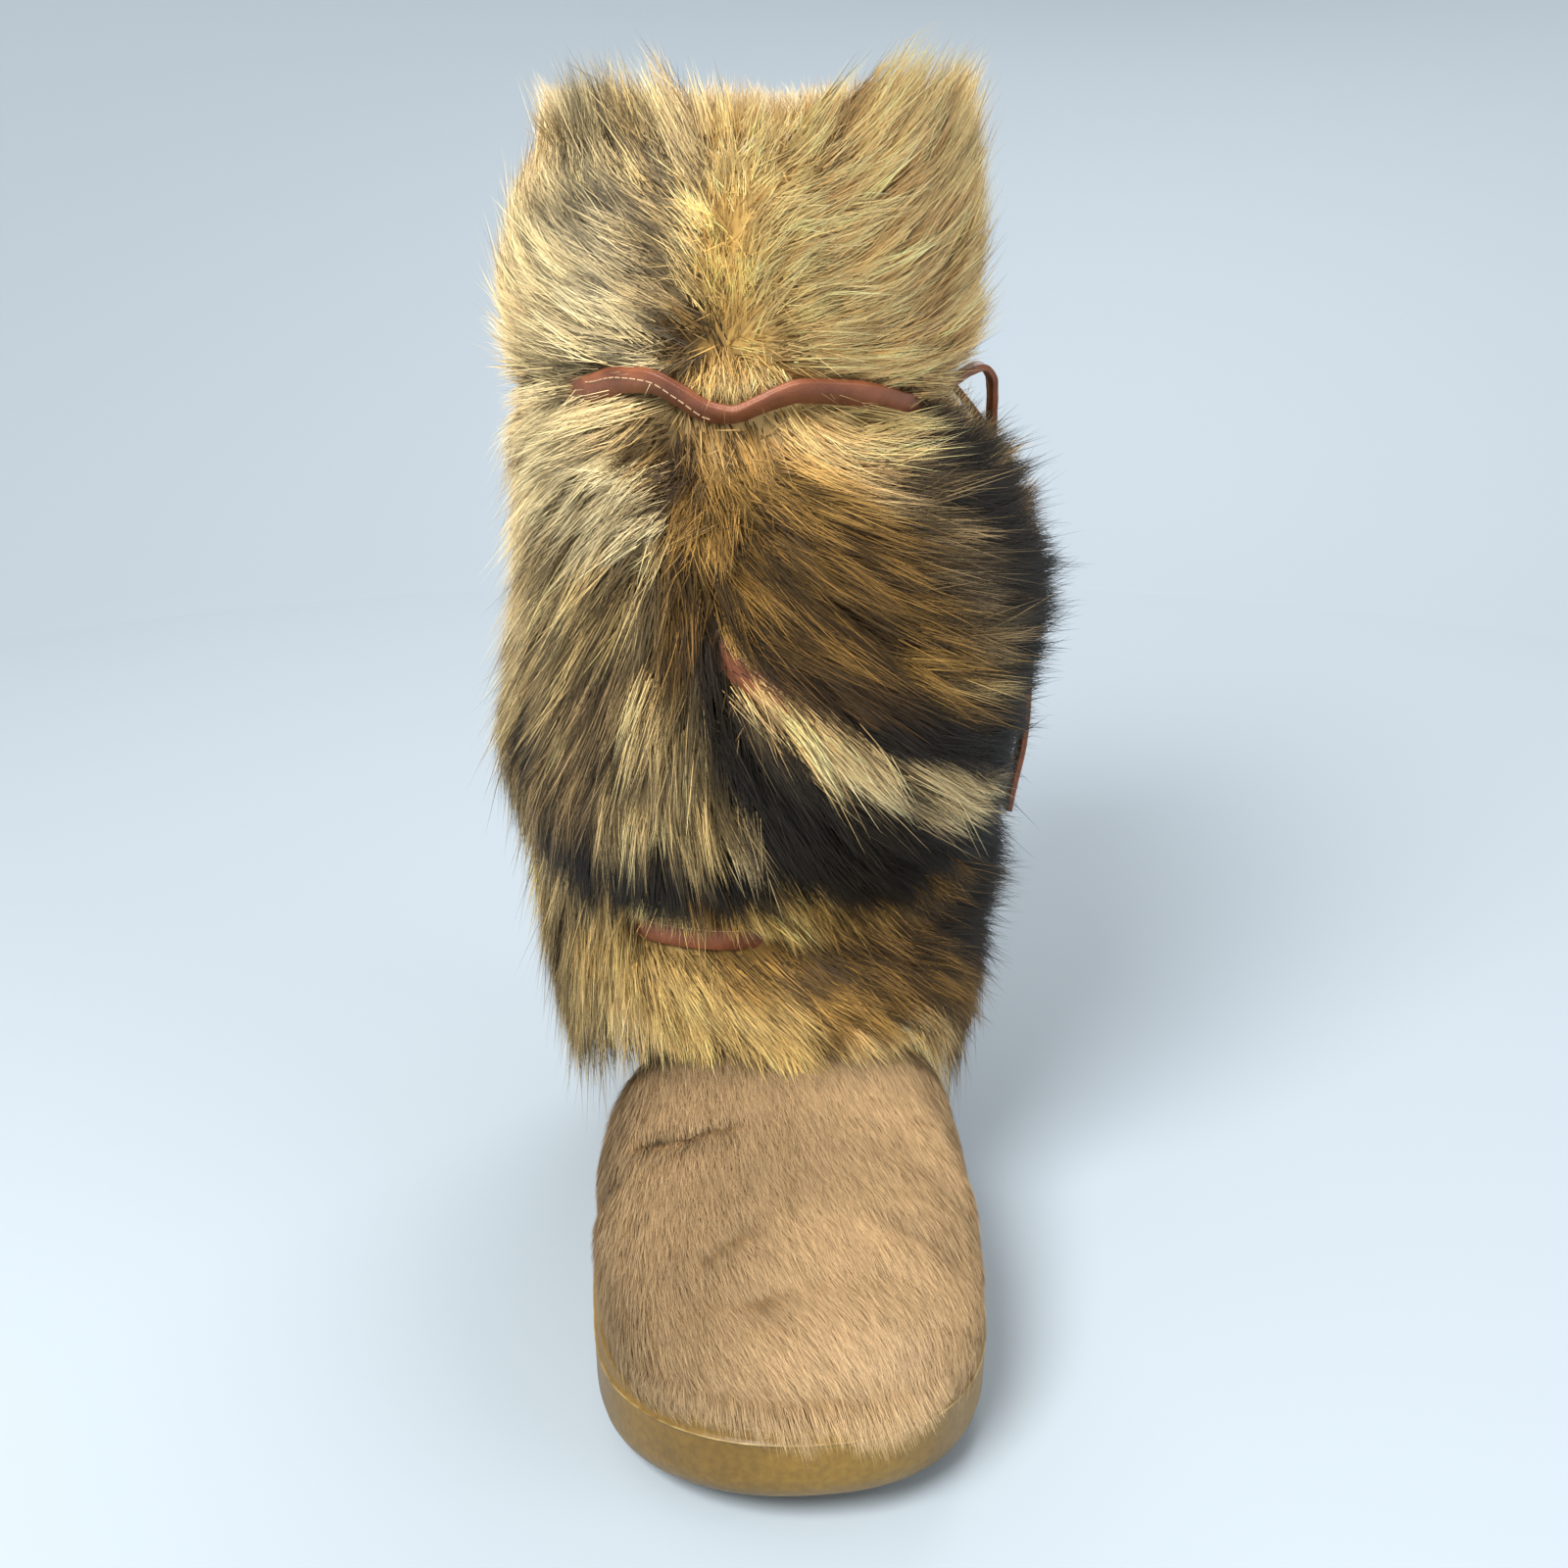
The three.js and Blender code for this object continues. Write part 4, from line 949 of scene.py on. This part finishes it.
def row_at(turn, height):
    """The fur skin's row at a height, for each turn."""
    turn, height = np.broadcast_arrays(np.asarray(turn, float), np.asarray(height, float))
    column = np.mod(np.round(turn / 360 * FUR_SKIN.turns).astype(int), FUR_SKIN.turns)
    rows = np.linspace(0, FUR_SKIN.last, FUR_SKIN.rows)
    flat = [np.interp(h, FUR_SKIN.points[:, c, 2], rows) for h, c in zip(height.ravel(), column.ravel())]
    return np.array(flat).reshape(height.shape)


class Locks:
    """Combed locks of long fur: their middle lines on the shaft, and their colours where they show."""

    def __init__(self, skin, count, keep):
        turn, row = skin.roots(count, keep)
        height = skin.at(turn, row)[0][:, 2]
        signed = turn_of(turn)
        heading, length = lie_at(signed, height)
        from_whorl = np.hypot((signed - WHORL[0]) * DEGREE_WIDTH, height - WHORL[1])
        spread = HEADING_SPREAD + WHORL_SPREAD * np.exp(-((from_whorl / WHORL_REACH) ** 2))
        heading = heading + random.normal(0, 1, count) * spread
        length = length * random.uniform(*LOCK_LENGTHS, count) * LONGEST
        lift = np.radians(random.uniform(*LOCK_LIFTS, count))
        lines, normals, sides, turns = lock_paths(skin, turn, row, heading, length, lift)
        share = clear_share(lines, turns)
        clear = share > LEAST_SHOWN
        self.lines, self.normals, self.share = lines[clear], normals[clear], share[clear]
        self.round, self.up = sides[clear, :, 0], sides[clear, :, 1]
        seen = round(COLOUR_REACH / LONGEST * LOCK_STEPS)
        self.coat, dark = coat_at(turns[clear, seen], self.lines[:, seen, 2])
        mixed = np.clip(4 * dark * (1 - dark), 0, 1)
        self.dark = dark + MIX_SPREAD * mixed**MIX_FOCUS * random.normal(0, 1, len(dark))
        self.tone = random.normal(1, LOCK_TONE, len(dark))


def along_locks(grid, lock, share):
    """Values of the locks' lines at shares of their length."""
    place = np.clip(share, 0, 1) * LOCK_STEPS
    i = np.minimum(place.astype(int), LOCK_STEPS - 1)
    part = (place - i)[..., None]
    return grid[lock[:, None], i] * (1 - part) + grid[lock[:, None], i + 1] * part


def fur_tint(locks, lock, along):
    """Colours of strands along their length, with painted shade towards the roots: some are dark at the ends.
    """
    weight = np.stack([np.interp(along, COAT_STOPS, stop) for stop in np.eye(3)], -1) * ROOT_SHADE
    pale = np.einsum("ks,nsc->nkc", weight, locks.coat[lock])
    dark = (1 - DARK_COVER) * pale + DARK_COVER * (weight @ DARK_COAT)
    is_dark = random.random(len(lock)) < locks.dark[lock]
    tint = np.where(is_dark[:, None, None], dark, pale)
    tone = np.clip(locks.tone[lock] * random.normal(1, STRAND_TONE, len(lock)), *TONE_LIMITS)
    return np.clip(tint * tone[:, None, None], LEAST_TINT, 1)


def fur_layer(name, locks, per_lock, along, widths):
    """Strands of the locks, each through the given shares of its reach."""
    lock = np.repeat(np.arange(len(locks.lines)), per_lock)
    count = len(lock)
    guard = random.random(count) < GUARD_SHARE
    reach = (random.uniform(*STRAND_REACH, count) + GUARD_REACH * guard) / LONGEST
    reach = np.minimum(reach, locks.share[lock] * random.uniform(*CUT_REACH, count))
    share = reach[:, None] * along
    points = along_locks(locks.lines, lock, share)
    normal = unit(along_locks(locks.normals, lock, share))
    side, up = along_locks(locks.round, lock, share), along_locks(locks.up, lock, share)
    spread = random.normal(0, LOCK_RADIUS, (count, 1, 2)) * (1 - LOCK_GATHER * along)[:, None]
    bend = (along**2)[:, None]
    loose = np.where(random.random(count) < STRAY_SHARE, STRAY_BEND, STRAND_BEND)[:, None, None]
    lifted = random.normal(0, STRAND_LIFT, count) + guard * random.uniform(*GUARD_LIFT, count)
    points = points + side * spread[..., :1] + up * spread[..., 1:]
    points = points + random.normal(0, 1, (count, 1, 3)) * loose * bend
    points = keep_close(points + normal * lifted[:, None, None] * bend)
    tint = fur_tint(locks, lock, along)
    ribbons(name, points, random.uniform(*widths, count), tint, normal, FUR)


def make_short_hair(name, skin, count, keep, style, tone_of, way):
    """Short straight hair: single tapered blades that lean over along a way."""
    turn, row = skin.roots(count, keep)
    spot = Spot(*skin.at(turn, row), turn_of(turn))
    heading = way(spot) + random.normal(0, SHORT_JITTER, (count, 3))
    heading = unit(heading - spot.normal * np.sum(heading * spot.normal, -1, keepdims=True))
    rise = style.lift * random.uniform(*SHORT_RISE, (count, 1))
    length = np.interp(spot.point[:, 0], *np.array(style.lengths, float).T)
    size = (length * random.uniform(*SHORT_LENGTHS, count))[:, None]
    root = spot.point - style.depth * spot.normal
    tip = root + size * unit(heading + rise * spot.normal)
    tone = np.clip(random.normal(1, style.mottle, (count, 1, 1)), *SHORT_TONES)
    tint = np.clip(tone_of(spot) * tone, LEAST_TINT, 1)
    normals = np.repeat(spot.normal[:, None], 2, axis=1)
    widths = random.uniform(*style.widths, count)
    ribbons(name, np.stack([root, tip], 1), widths, tint, normals, style.material)


def fringe_way(spot):
    """The fringe runs out over the lip and down, slanting to the outer side."""
    return np.array([0.35, -0.6, -1.0]) + 0.3 * unit(spot.normal * (1, 1, 0))


def foot_tone(spot):
    """Root and tip colours of the foot's hair: cloudy, with painted shade in creases and under the hem and a
    painted highlight at the toe, greyer behind the vamp seam.
    """
    x, station, z = spot.point.T
    wave = np.sin(x / 13 + 1.3 * np.sin(station / 17)) + np.sin(station / 11 + 2 * np.sin(x / 19 + z / 15))
    behind = station - vamp_seam(z)
    seam = 1 - SEAM_SHADE * np.exp(-((behind / SEAM_REACH) ** 2))
    # Painted highlight towards the toe, painted shadow under the hem and painted shade in creases
    toe = 1 + TOE_LIGHT * np.clip(1 - station / TOE_REACH, 0, 1)
    below = np.maximum(hem_height(station) - HEM_COVER - z, 0)
    hem = 1 - HEM_SHADE * np.exp(-((below / HEM_REACH) ** 2))
    crease = 1 - CREASE_SHADE * crease_press(spot.point)[1]
    tone = (1 + CLOUD_SHADE * wave) * seam * toe * hem * crease
    quarter = np.clip(behind / 2, 0, 1)[:, None]
    ends = [vamp * (1 - quarter) + rear * quarter for vamp, rear in zip(FOOT_HAIR, QUARTER_HAIR)]
    return np.stack(ends, 1) * tone[:, None, None]


def vamp_seam(z):
    """Station of the seam between the vamp and the quarters, which slants back towards the sole."""
    return SEAM_STATION - SEAM_SLANT * (z - SEAM_HEIGHT)


def foot_way(spot):
    """Foot hair runs towards the toe, slanting to the outer side, and down the sides."""
    x, station, _ = spot.point.T
    side = x / 50
    slant = 0.12 + 0.45 * np.clip(1 - station / 75, 0, 1) * np.clip(1 - side, 0.3, 1.2)
    return np.stack([slant + 0.2 * side, -np.ones(len(side)), -0.3 - 0.35 * np.abs(side)], -1)


def wool_tone(spot):
    """The underwool takes the coat's own colours, with painted shade where longer hair lies over it and
    towards its roots.
    """
    coat, dark = coat_at(spot.turn, spot.point[:, 2])
    length = lie_at(spot.turn, spot.point[:, 2])[1]
    # Painted shade where longer hair lies over the underwool
    open_share = np.interp(length, *WOOL_OPEN)
    coat = coat * ((1 - WOOL_DARK * dark) * open_share)[:, None, None]
    return coat[:, :2] * WOOL_SHADE[None, :, None]


def wool_way(spot):
    """The underwool curls, but mostly follows the longer hair."""
    heading = np.radians(lie_at(spot.turn, spot.point[:, 2])[0])[:, None]
    lie = np.cos(heading) * unit(spot.around) + np.sin(heading) * unit(spot.up)
    return lie + random.normal(0, 0.45, lie.shape)


def pile_tone(spot):
    """Root and tip colours of the lining's pile, faintly cloudy."""
    x, station, z = spot.point.T
    cloud = 1 + 0.06 * np.sin(z / 7 + x / 9) + 0.05 * np.sin(station / 8)
    ends = np.stack([np.broadcast_to(shade, spot.point.shape) for shade in FLEECE_HAIR], 1)
    return ends * cloud[:, None, None]


def pile_way(spot):
    """The lining's pile leans up and curls at random."""
    return np.array([0.0, 0.0, 1.0]) + random.normal(0, 0.8, spot.point.shape)


def make_rim_hair(outer, inner, count):
    """Short hair over the top of the wall, from the fur's edge to the lining's."""
    lean, jitter, dark_cover, mottle = 0.7, 0.3, 0.6, 0.1
    lengths, widths = (8, 14), (0.3, 0.5)
    column = random.random(count) * (len(outer) - 1)
    i = column.astype(int)
    part = (column - i)[:, None]
    fur_side, lining_side = (ring[i] * (1 - part) + ring[i + 1] * part for ring in (outer, inner))
    across = random.random((count, 1))
    root = fur_side * (1 - across) + lining_side * across + (0, 0, RIM_CROWN - 1) * np.sin(np.pi * across)
    outward = unit((fur_side - lining_side) * (1, 1, 0))
    heading = outward * lean * (1 - 2 * across) + (0, 0, 1) + random.normal(0, jitter, (count, 3))
    tip = root + unit(heading) * random.uniform(*lengths, (count, 1))
    points = keep_close(np.stack([root, tip], 1))
    turn = turn_of(column * 360 / (len(outer) - 1))
    coat, dark = coat_at(turn, root[:, 2])
    fur_tone = coat[:, :2] * (1 - dark_cover * dark)[:, None, None]
    tint = fur_tone * (1 - across[:, None]) + np.stack(FLEECE_HAIR) * across[:, None]
    tint = np.clip(tint * random.normal(1, mottle, (count, 1, 1)), LEAST_TINT, 1)
    normals = np.repeat(unit(outward * (0.5 - across) + (0, 0, 0.6))[:, None], 2, axis=1)
    ribbons("rim_hair", points, random.uniform(*widths, count), tint, normals, FUR)


# Lace
def run_along(line):
    """Distances along a line of points."""
    return np.concatenate([[0], np.cumsum(np.linalg.norm(np.diff(line, axis=0), axis=1))])


def point_along(run, grid, place):
    """Points of a line, at distances along it."""
    return np.stack([np.interp(place, run, grid[:, k]) for k in range(3)], -1)


def smooth_route(points, count):
    """Evenly spaced points on a smooth curve through a given route, and its length."""
    steps = run_along(points)
    slope = np.gradient(points, steps, axis=0)
    fine = curve_with(slope, steps, points, np.linspace(0, steps[-1], 40 * len(points)))
    run = run_along(fine)
    return point_along(run, fine, np.linspace(0, run[-1], count)), run[-1]


# Sections of a thread and of the folded strap, across and out, as shares of their sizes
THREAD_SECTION = [(-1, -0.3), (1, -0.3), (0.7, 1), (-0.7, 1)]
STRAP_SECTION = [
    (-0.5, -0.28), (-0.46, -0.5), (0.46, -0.5), (0.5, -0.28), (0.49, -0.06), (0.485, 0.0), (0.49, 0.06),
    (0.5, 0.28), (0.46, 0.5), (-0.46, 0.5), (-0.5, 0.28), (-0.49, 0.06), (-0.485, 0.0), (-0.49, -0.06),
]


def strap_mesh(line, across, outward, closed):
    """Points and faces of a flat folded strap along a line."""
    section = np.array(STRAP_SECTION) * (LACE_WIDTH, LACE_THICK)
    rings = line[:, None] + across[:, None] * section[None, :, :1] + outward[:, None] * section[None, :, 1:]
    count, columns = rings.shape[:2]
    faces = grid_faces(count, columns, True)
    if closed:
        last = (count - 1) * columns
        faces += [(last + c, last + (c + 1) % columns, (c + 1) % columns, c) for c in range(columns)]
    else:
        faces.append(tuple(range(columns))[::-1])
        faces.append(tuple((count - 1) * columns + c for c in range(columns)))
    return rings.reshape(-1, 3), faces


def stitches(line, across, outward, offset):
    """A row of short raised threads along a strap, as boxes with tapered ends."""
    vertices, faces = [], []
    run = run_along(line)
    offset = np.broadcast_to(offset, run.shape)
    for start in np.arange(FIRST_STITCH, run[-1] - STITCH_LENGTH, STITCH_PITCH):
        base = len(vertices)
        for place in (start, start + STITCH_LENGTH):
            centre, side, out = (point_along(run, grid, place) for grid in (line, across, outward))
            middle = np.interp(place, run, offset)
            for a, b in THREAD_SECTION:
                vertices.append(centre + side * (middle + a * THREAD) + out * (LACE_THICK / 2 + b * THREAD))
        faces += [(base + k, base + (k + 1) % 4, base + 4 + (k + 1) % 4, base + 4 + k) for k in range(4)]
        faces += [(base + 3, base + 2, base + 1, base), (base + 4, base + 5, base + 6, base + 7)]
    return vertices, faces


def joined_meshes(meshes):
    """The points and faces of several meshes as one."""
    vertices, faces = [], []
    for points, polygons in meshes:
        base = len(vertices)
        vertices.extend(np.asarray(points).tolist())
        faces.extend([tuple(base + i for i in face) for face in polygons])
    return np.array(vertices), faces


def wound_route(turn, height, sink):
    """A line on the shaft, below the fur's face, with its flat side facing out."""
    point, normal, _, _ = FUR_SKIN.at(turn, row_at(turn, height))
    level = unit(normal * (1, 1, 0))
    return point - sink[:, None] * level, level


def strap_frame(line, outward, twist):
    """Ways across and out of a strap that is twisted about its line."""
    along = unit(np.gradient(line, axis=0))
    across = unit(np.cross(outward, along))
    out = unit(np.cross(along, across))
    c, s = np.cos(twist)[:, None], np.sin(twist)[:, None]
    return across * c + out * s, out * c - across * s


def bell(value, middle, spread):
    """One near the middle, falling off steeply about the spread."""
    return np.exp(-(((value - middle) / spread) ** 4))


def make_wound_lace():
    """The lace round the calf and ankle, and its two slanting legs."""
    turn = np.linspace(-180, 180, 241)[:-1]
    shown = bell(turn, *CALF_SHOWN)
    dip = np.exp(-(((turn - DIP_TURN) / DIP_SPREAD) ** 2))
    line, level = wound_route(turn, curve_of(*CALF_LACE.T, turn), CALF_DEPTH - CALF_RISE * shown)
    across, out = strap_frame(line, level, CALF_TWIST * shown + DIP_TWIST * dip)
    meshes = [strap_mesh(line, across, out, True)]
    sewn = (turn > SEWN_FROM) & (turn < SEWN_TO)
    edge = np.interp(turn, *CALF_SEAM.T)
    threads = [stitches(line[sewn], across[sewn], out[sewn], edge[sewn])]

    ankle_sink = ANKLE_DEPTH - ANKLE_RISE * bell(turn, *ANKLE_SHOWN)
    routes = [(turn, np.full_like(turn, ANKLE_TIE - 1), ankle_sink, True)]
    for t0, z0, t1, z1 in LACE_DIAGONALS:
        leg, height = np.linspace(t0, t1, LACE_POINTS), np.linspace(z0, z1, LACE_POINTS)
        routes.append((leg, height, LEG_DEPTH - LEG_RISE * bell(leg, *LEG_SHOWN), False))
    for route_turn, height, sink, closed in routes:
        line, level = wound_route(route_turn, height, sink)
        across, out = strap_frame(line, level, np.zeros(len(line)))
        meshes.append(strap_mesh(line, across, out, closed))
        threads.append(stitches(line, across, out, SEAM_EDGE))
    strap = new_object("lace_strap", *joined_meshes(meshes), LEATHER, "lace_leather")
    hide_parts("lace_wrap")
    new_object("lace_stitches", *joined_meshes(threads), THREADS, "lace_leather", smooth=False)


def make_free_lace(name, node, route):
    """A free piece of lace at the tie, with its flat side facing out and its stitches."""
    points = route + (0, TIE_STATION, 0)
    line, length = smooth_route(points, LACE_POINTS)
    along = unit(np.gradient(line, axis=0))
    across = np.broadcast_to((0.0, 1.0, 0.0), line.shape)
    outward = unit(np.cross(across, along))
    across = unit(np.cross(along, outward))
    lace = new_object(name, *strap_mesh(line, across, outward, False), LEATHER, "lace_leather")
    threads = joined_meshes([stitches(line, across, outward, SEAM_EDGE)])
    sewn = new_object(name + "_stitches", *threads, THREADS, "lace_leather", smooth=False)
    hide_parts(node)


# Stage, light and camera
def stage_piece(name, profile, material):
    """A ring of the stage, turned from (radius, height) steps in metres."""
    angle = np.arange(STAGE_SPOKES) * 2 * math.pi / STAGE_SPOKES
    vertices = [(r * math.cos(a), r * math.sin(a), z) for r, z in profile for a in angle]
    mesh = bpy.data.meshes.new(name)
    mesh.from_pydata(vertices, [], grid_faces(len(profile), STAGE_SPOKES, True))
    mesh.polygons.foreach_set("use_smooth", [True] * len(mesh.polygons))
    mesh.materials.append(material)
    piece = bpy.data.objects.new(name, mesh)
    bpy.context.collection.objects.link(piece)
    return piece


def make_stage():
    """A plain pale floor, and a wall that curves up from it all round and keeps no light out."""
    finish = Finish("floor_paper", 0.85, 0.2)
    finish.shader["Base Color"].default_value = (*linear(FLOOR_COLOUR), 1)
    stage_piece("floor", [(0, 0), (FLOOR_RADIUS, 0)], finish.material)
    rise = np.linspace(0, math.pi / 2, 24)
    curve = [(FLOOR_RADIUS + WALL_BEND * math.sin(a), WALL_BEND * (1 - math.cos(a))) for a in rise]
    wall = stage_piece("wall", curve, finish.material)
    wall.visible_diffuse = wall.visible_glossy = wall.visible_shadow = False


def add_light(name, place, size, power, colour):
    """A round soft light that faces the boot."""
    data = bpy.data.lights.new(name, "AREA")
    data.shape, data.size, data.energy, data.color = "DISK", size, power, colour
    light = bpy.data.objects.new(name, data)
    bpy.context.collection.objects.link(light)
    light.location = place
    light.rotation_euler = (Vector(LIT_PLACE) - Vector(place)).to_track_quat("-Z", "Y").to_euler()


def make_lights():
    """Three soft lights and an even sky."""
    for light in LIGHTS:
        add_light(*light)
    world = bpy.data.worlds.new("studio")
    world.use_nodes = True
    sky = world.node_tree.nodes["Background"].inputs
    sky["Color"].default_value = SKY_COLOUR
    sky["Strength"].default_value = SKY_STRENGTH
    bpy.context.scene.world = world
    bpy.context.scene.view_settings.view_transform = "Standard"


def make_camera():
    """The camera of the photo."""
    data = bpy.data.cameras.new("photo_camera")
    data.lens, data.sensor_width, data.sensor_height = CAMERA_LENS, SENSOR, SENSOR
    data.clip_start = 0.01
    camera = bpy.data.objects.new("photo_camera", data)
    bpy.context.collection.objects.link(camera)
    camera.location = to_row(CAMERA_PLACE)
    camera.rotation_euler = Vector(CAMERA_LOOK).to_track_quat("-Z", "Y").to_euler()
    bpy.context.scene.camera = camera


def hem_height(station):
    """Height of the shaft's hem over the foot."""
    return HEM_HEIGHT - HEM_FALL * (station - HEM_STATION)


def open_foot(points, turn):
    """The part of the foot's hide that shows below the shaft."""
    _, station, z = np.moveaxis(points, -1, 0)
    below_hem = z < hem_height(station) + HEM_TUCK
    return below_hem & (z > lip_height(station) - LIP_TUCK) & (station < HAIR_END)


def toe_edge(points, turn):
    """A narrow band of the foot just above the lip, round the toe."""
    _, station, z = np.moveaxis(points, -1, 0)
    above = z - lip_height(station)
    return (above > FRINGE_LOW) & (above < FRINGE_HIGH) & (station < FRINGE_END)


def clear_of_lace(points, turn):
    """The shaft, away from the stretches of lace that show."""
    gaps = [parting_gap(turn, points[..., 2], parting) > parting[4] + WOOL_CLEAR for parting in PARTINGS]
    return np.all(gaps, axis=0)


def rim_pile(points, turn):
    """The lining near the rim."""
    return (points[..., 2] > PILE_LOW) & (points[..., 2] < PILE_HIGH)


FUR_SKIN = Skin(FUR_SECTIONS, FUR_ROUNDNESS, low=HEM_ROW, high=RIM_ROW, lean=HEM_LEAN)
make_stage()
make_lights()
make_camera()
make_free_lace("lace_tie_loop", "lace_loop", LACE_LOOP_ROUTE)
make_free_lace("lace_hanging_end", "lace_end", LACE_END_ROUTE)
make_wound_lace()
make_sole()
FOOT_SKIN = make_foot_skin()
make_upper(FOOT_SKIN)
LEG_SKIN, FUR_EDGE, LINING_EDGE = make_shaft()
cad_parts["insole"].data.materials.clear()
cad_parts["insole"].data.materials.append(FELT)

# Short hair: widths, lengths at places across the boot, lift, depth of the roots, mottle
FOOT_STYLE = ShortHair((0.13, 0.26), [(0, 7.5)], 0.12, 0.4, 0.26, SHORT_HAIR, "hair_hide")
FRINGE_STYLE = ShortHair((0.14, 0.26), FRINGE_LENGTHS, 0.55, 0.4, 0.24, SHORT_HAIR, "hair_hide")
WOOL_STYLE = ShortHair((0.35, 0.7), [(0, 8.5)], 0.6, FUR_DEPTH, 0.14, FUR, "long_fur")
PILE_STYLE = ShortHair((0.3, 0.55), [(0, 8.0)], -0.5, 0.4, 0.12, SHORT_HAIR, "long_fur")
make_short_hair("foot_hair", FOOT_SKIN, 150000, open_foot, FOOT_STYLE, foot_tone, foot_way)
make_short_hair("toe_fringe", FOOT_SKIN, 5200, toe_edge, FRINGE_STYLE, foot_tone, fringe_way)
make_short_hair("fur_underwool", FUR_SKIN, 36000, clear_of_lace, WOOL_STYLE, wool_tone, wool_way)
make_short_hair("lining_pile", LEG_SKIN, 30000, rim_pile, PILE_STYLE, pile_tone, pile_way)
make_rim_hair(FUR_EDGE, LINING_EDGE, 9000)

# Long fur in two layers: bent strands from the hide, and finer straight ends over them
STRANDS, WISPS = 9, 21
BENT, ENDS = np.array([0, 0.52, 1.0]), np.array([0.4, 1.0])
BENT_WIDTHS, END_WIDTHS = (0.2, 0.36), (0.16, 0.3)
FUR_PATCHES = [
    ("fur_collar", 3100, lambda p, t: p[..., 2] > CALF_TIE),
    ("fur_calf_inner", 3400, lambda p, t: (p[..., 2] > ANKLE_TIE) & (p[..., 2] <= CALF_TIE) & (t < 0)),
    ("fur_calf_outer", 3400, lambda p, t: (p[..., 2] > ANKLE_TIE) & (p[..., 2] <= CALF_TIE) & (t >= 0)),
    ("fur_ankle", 2700, lambda p, t: p[..., 2] <= ANKLE_TIE),
]
for patch_name, lock_count, keep_patch in FUR_PATCHES:
    patch = Locks(FUR_SKIN, lock_count, keep_patch)
    fur_layer(patch_name, patch, STRANDS, BENT, BENT_WIDTHS)
    fur_layer(patch_name + "_ends", patch, WISPS, ENDS, END_WIDTHS)
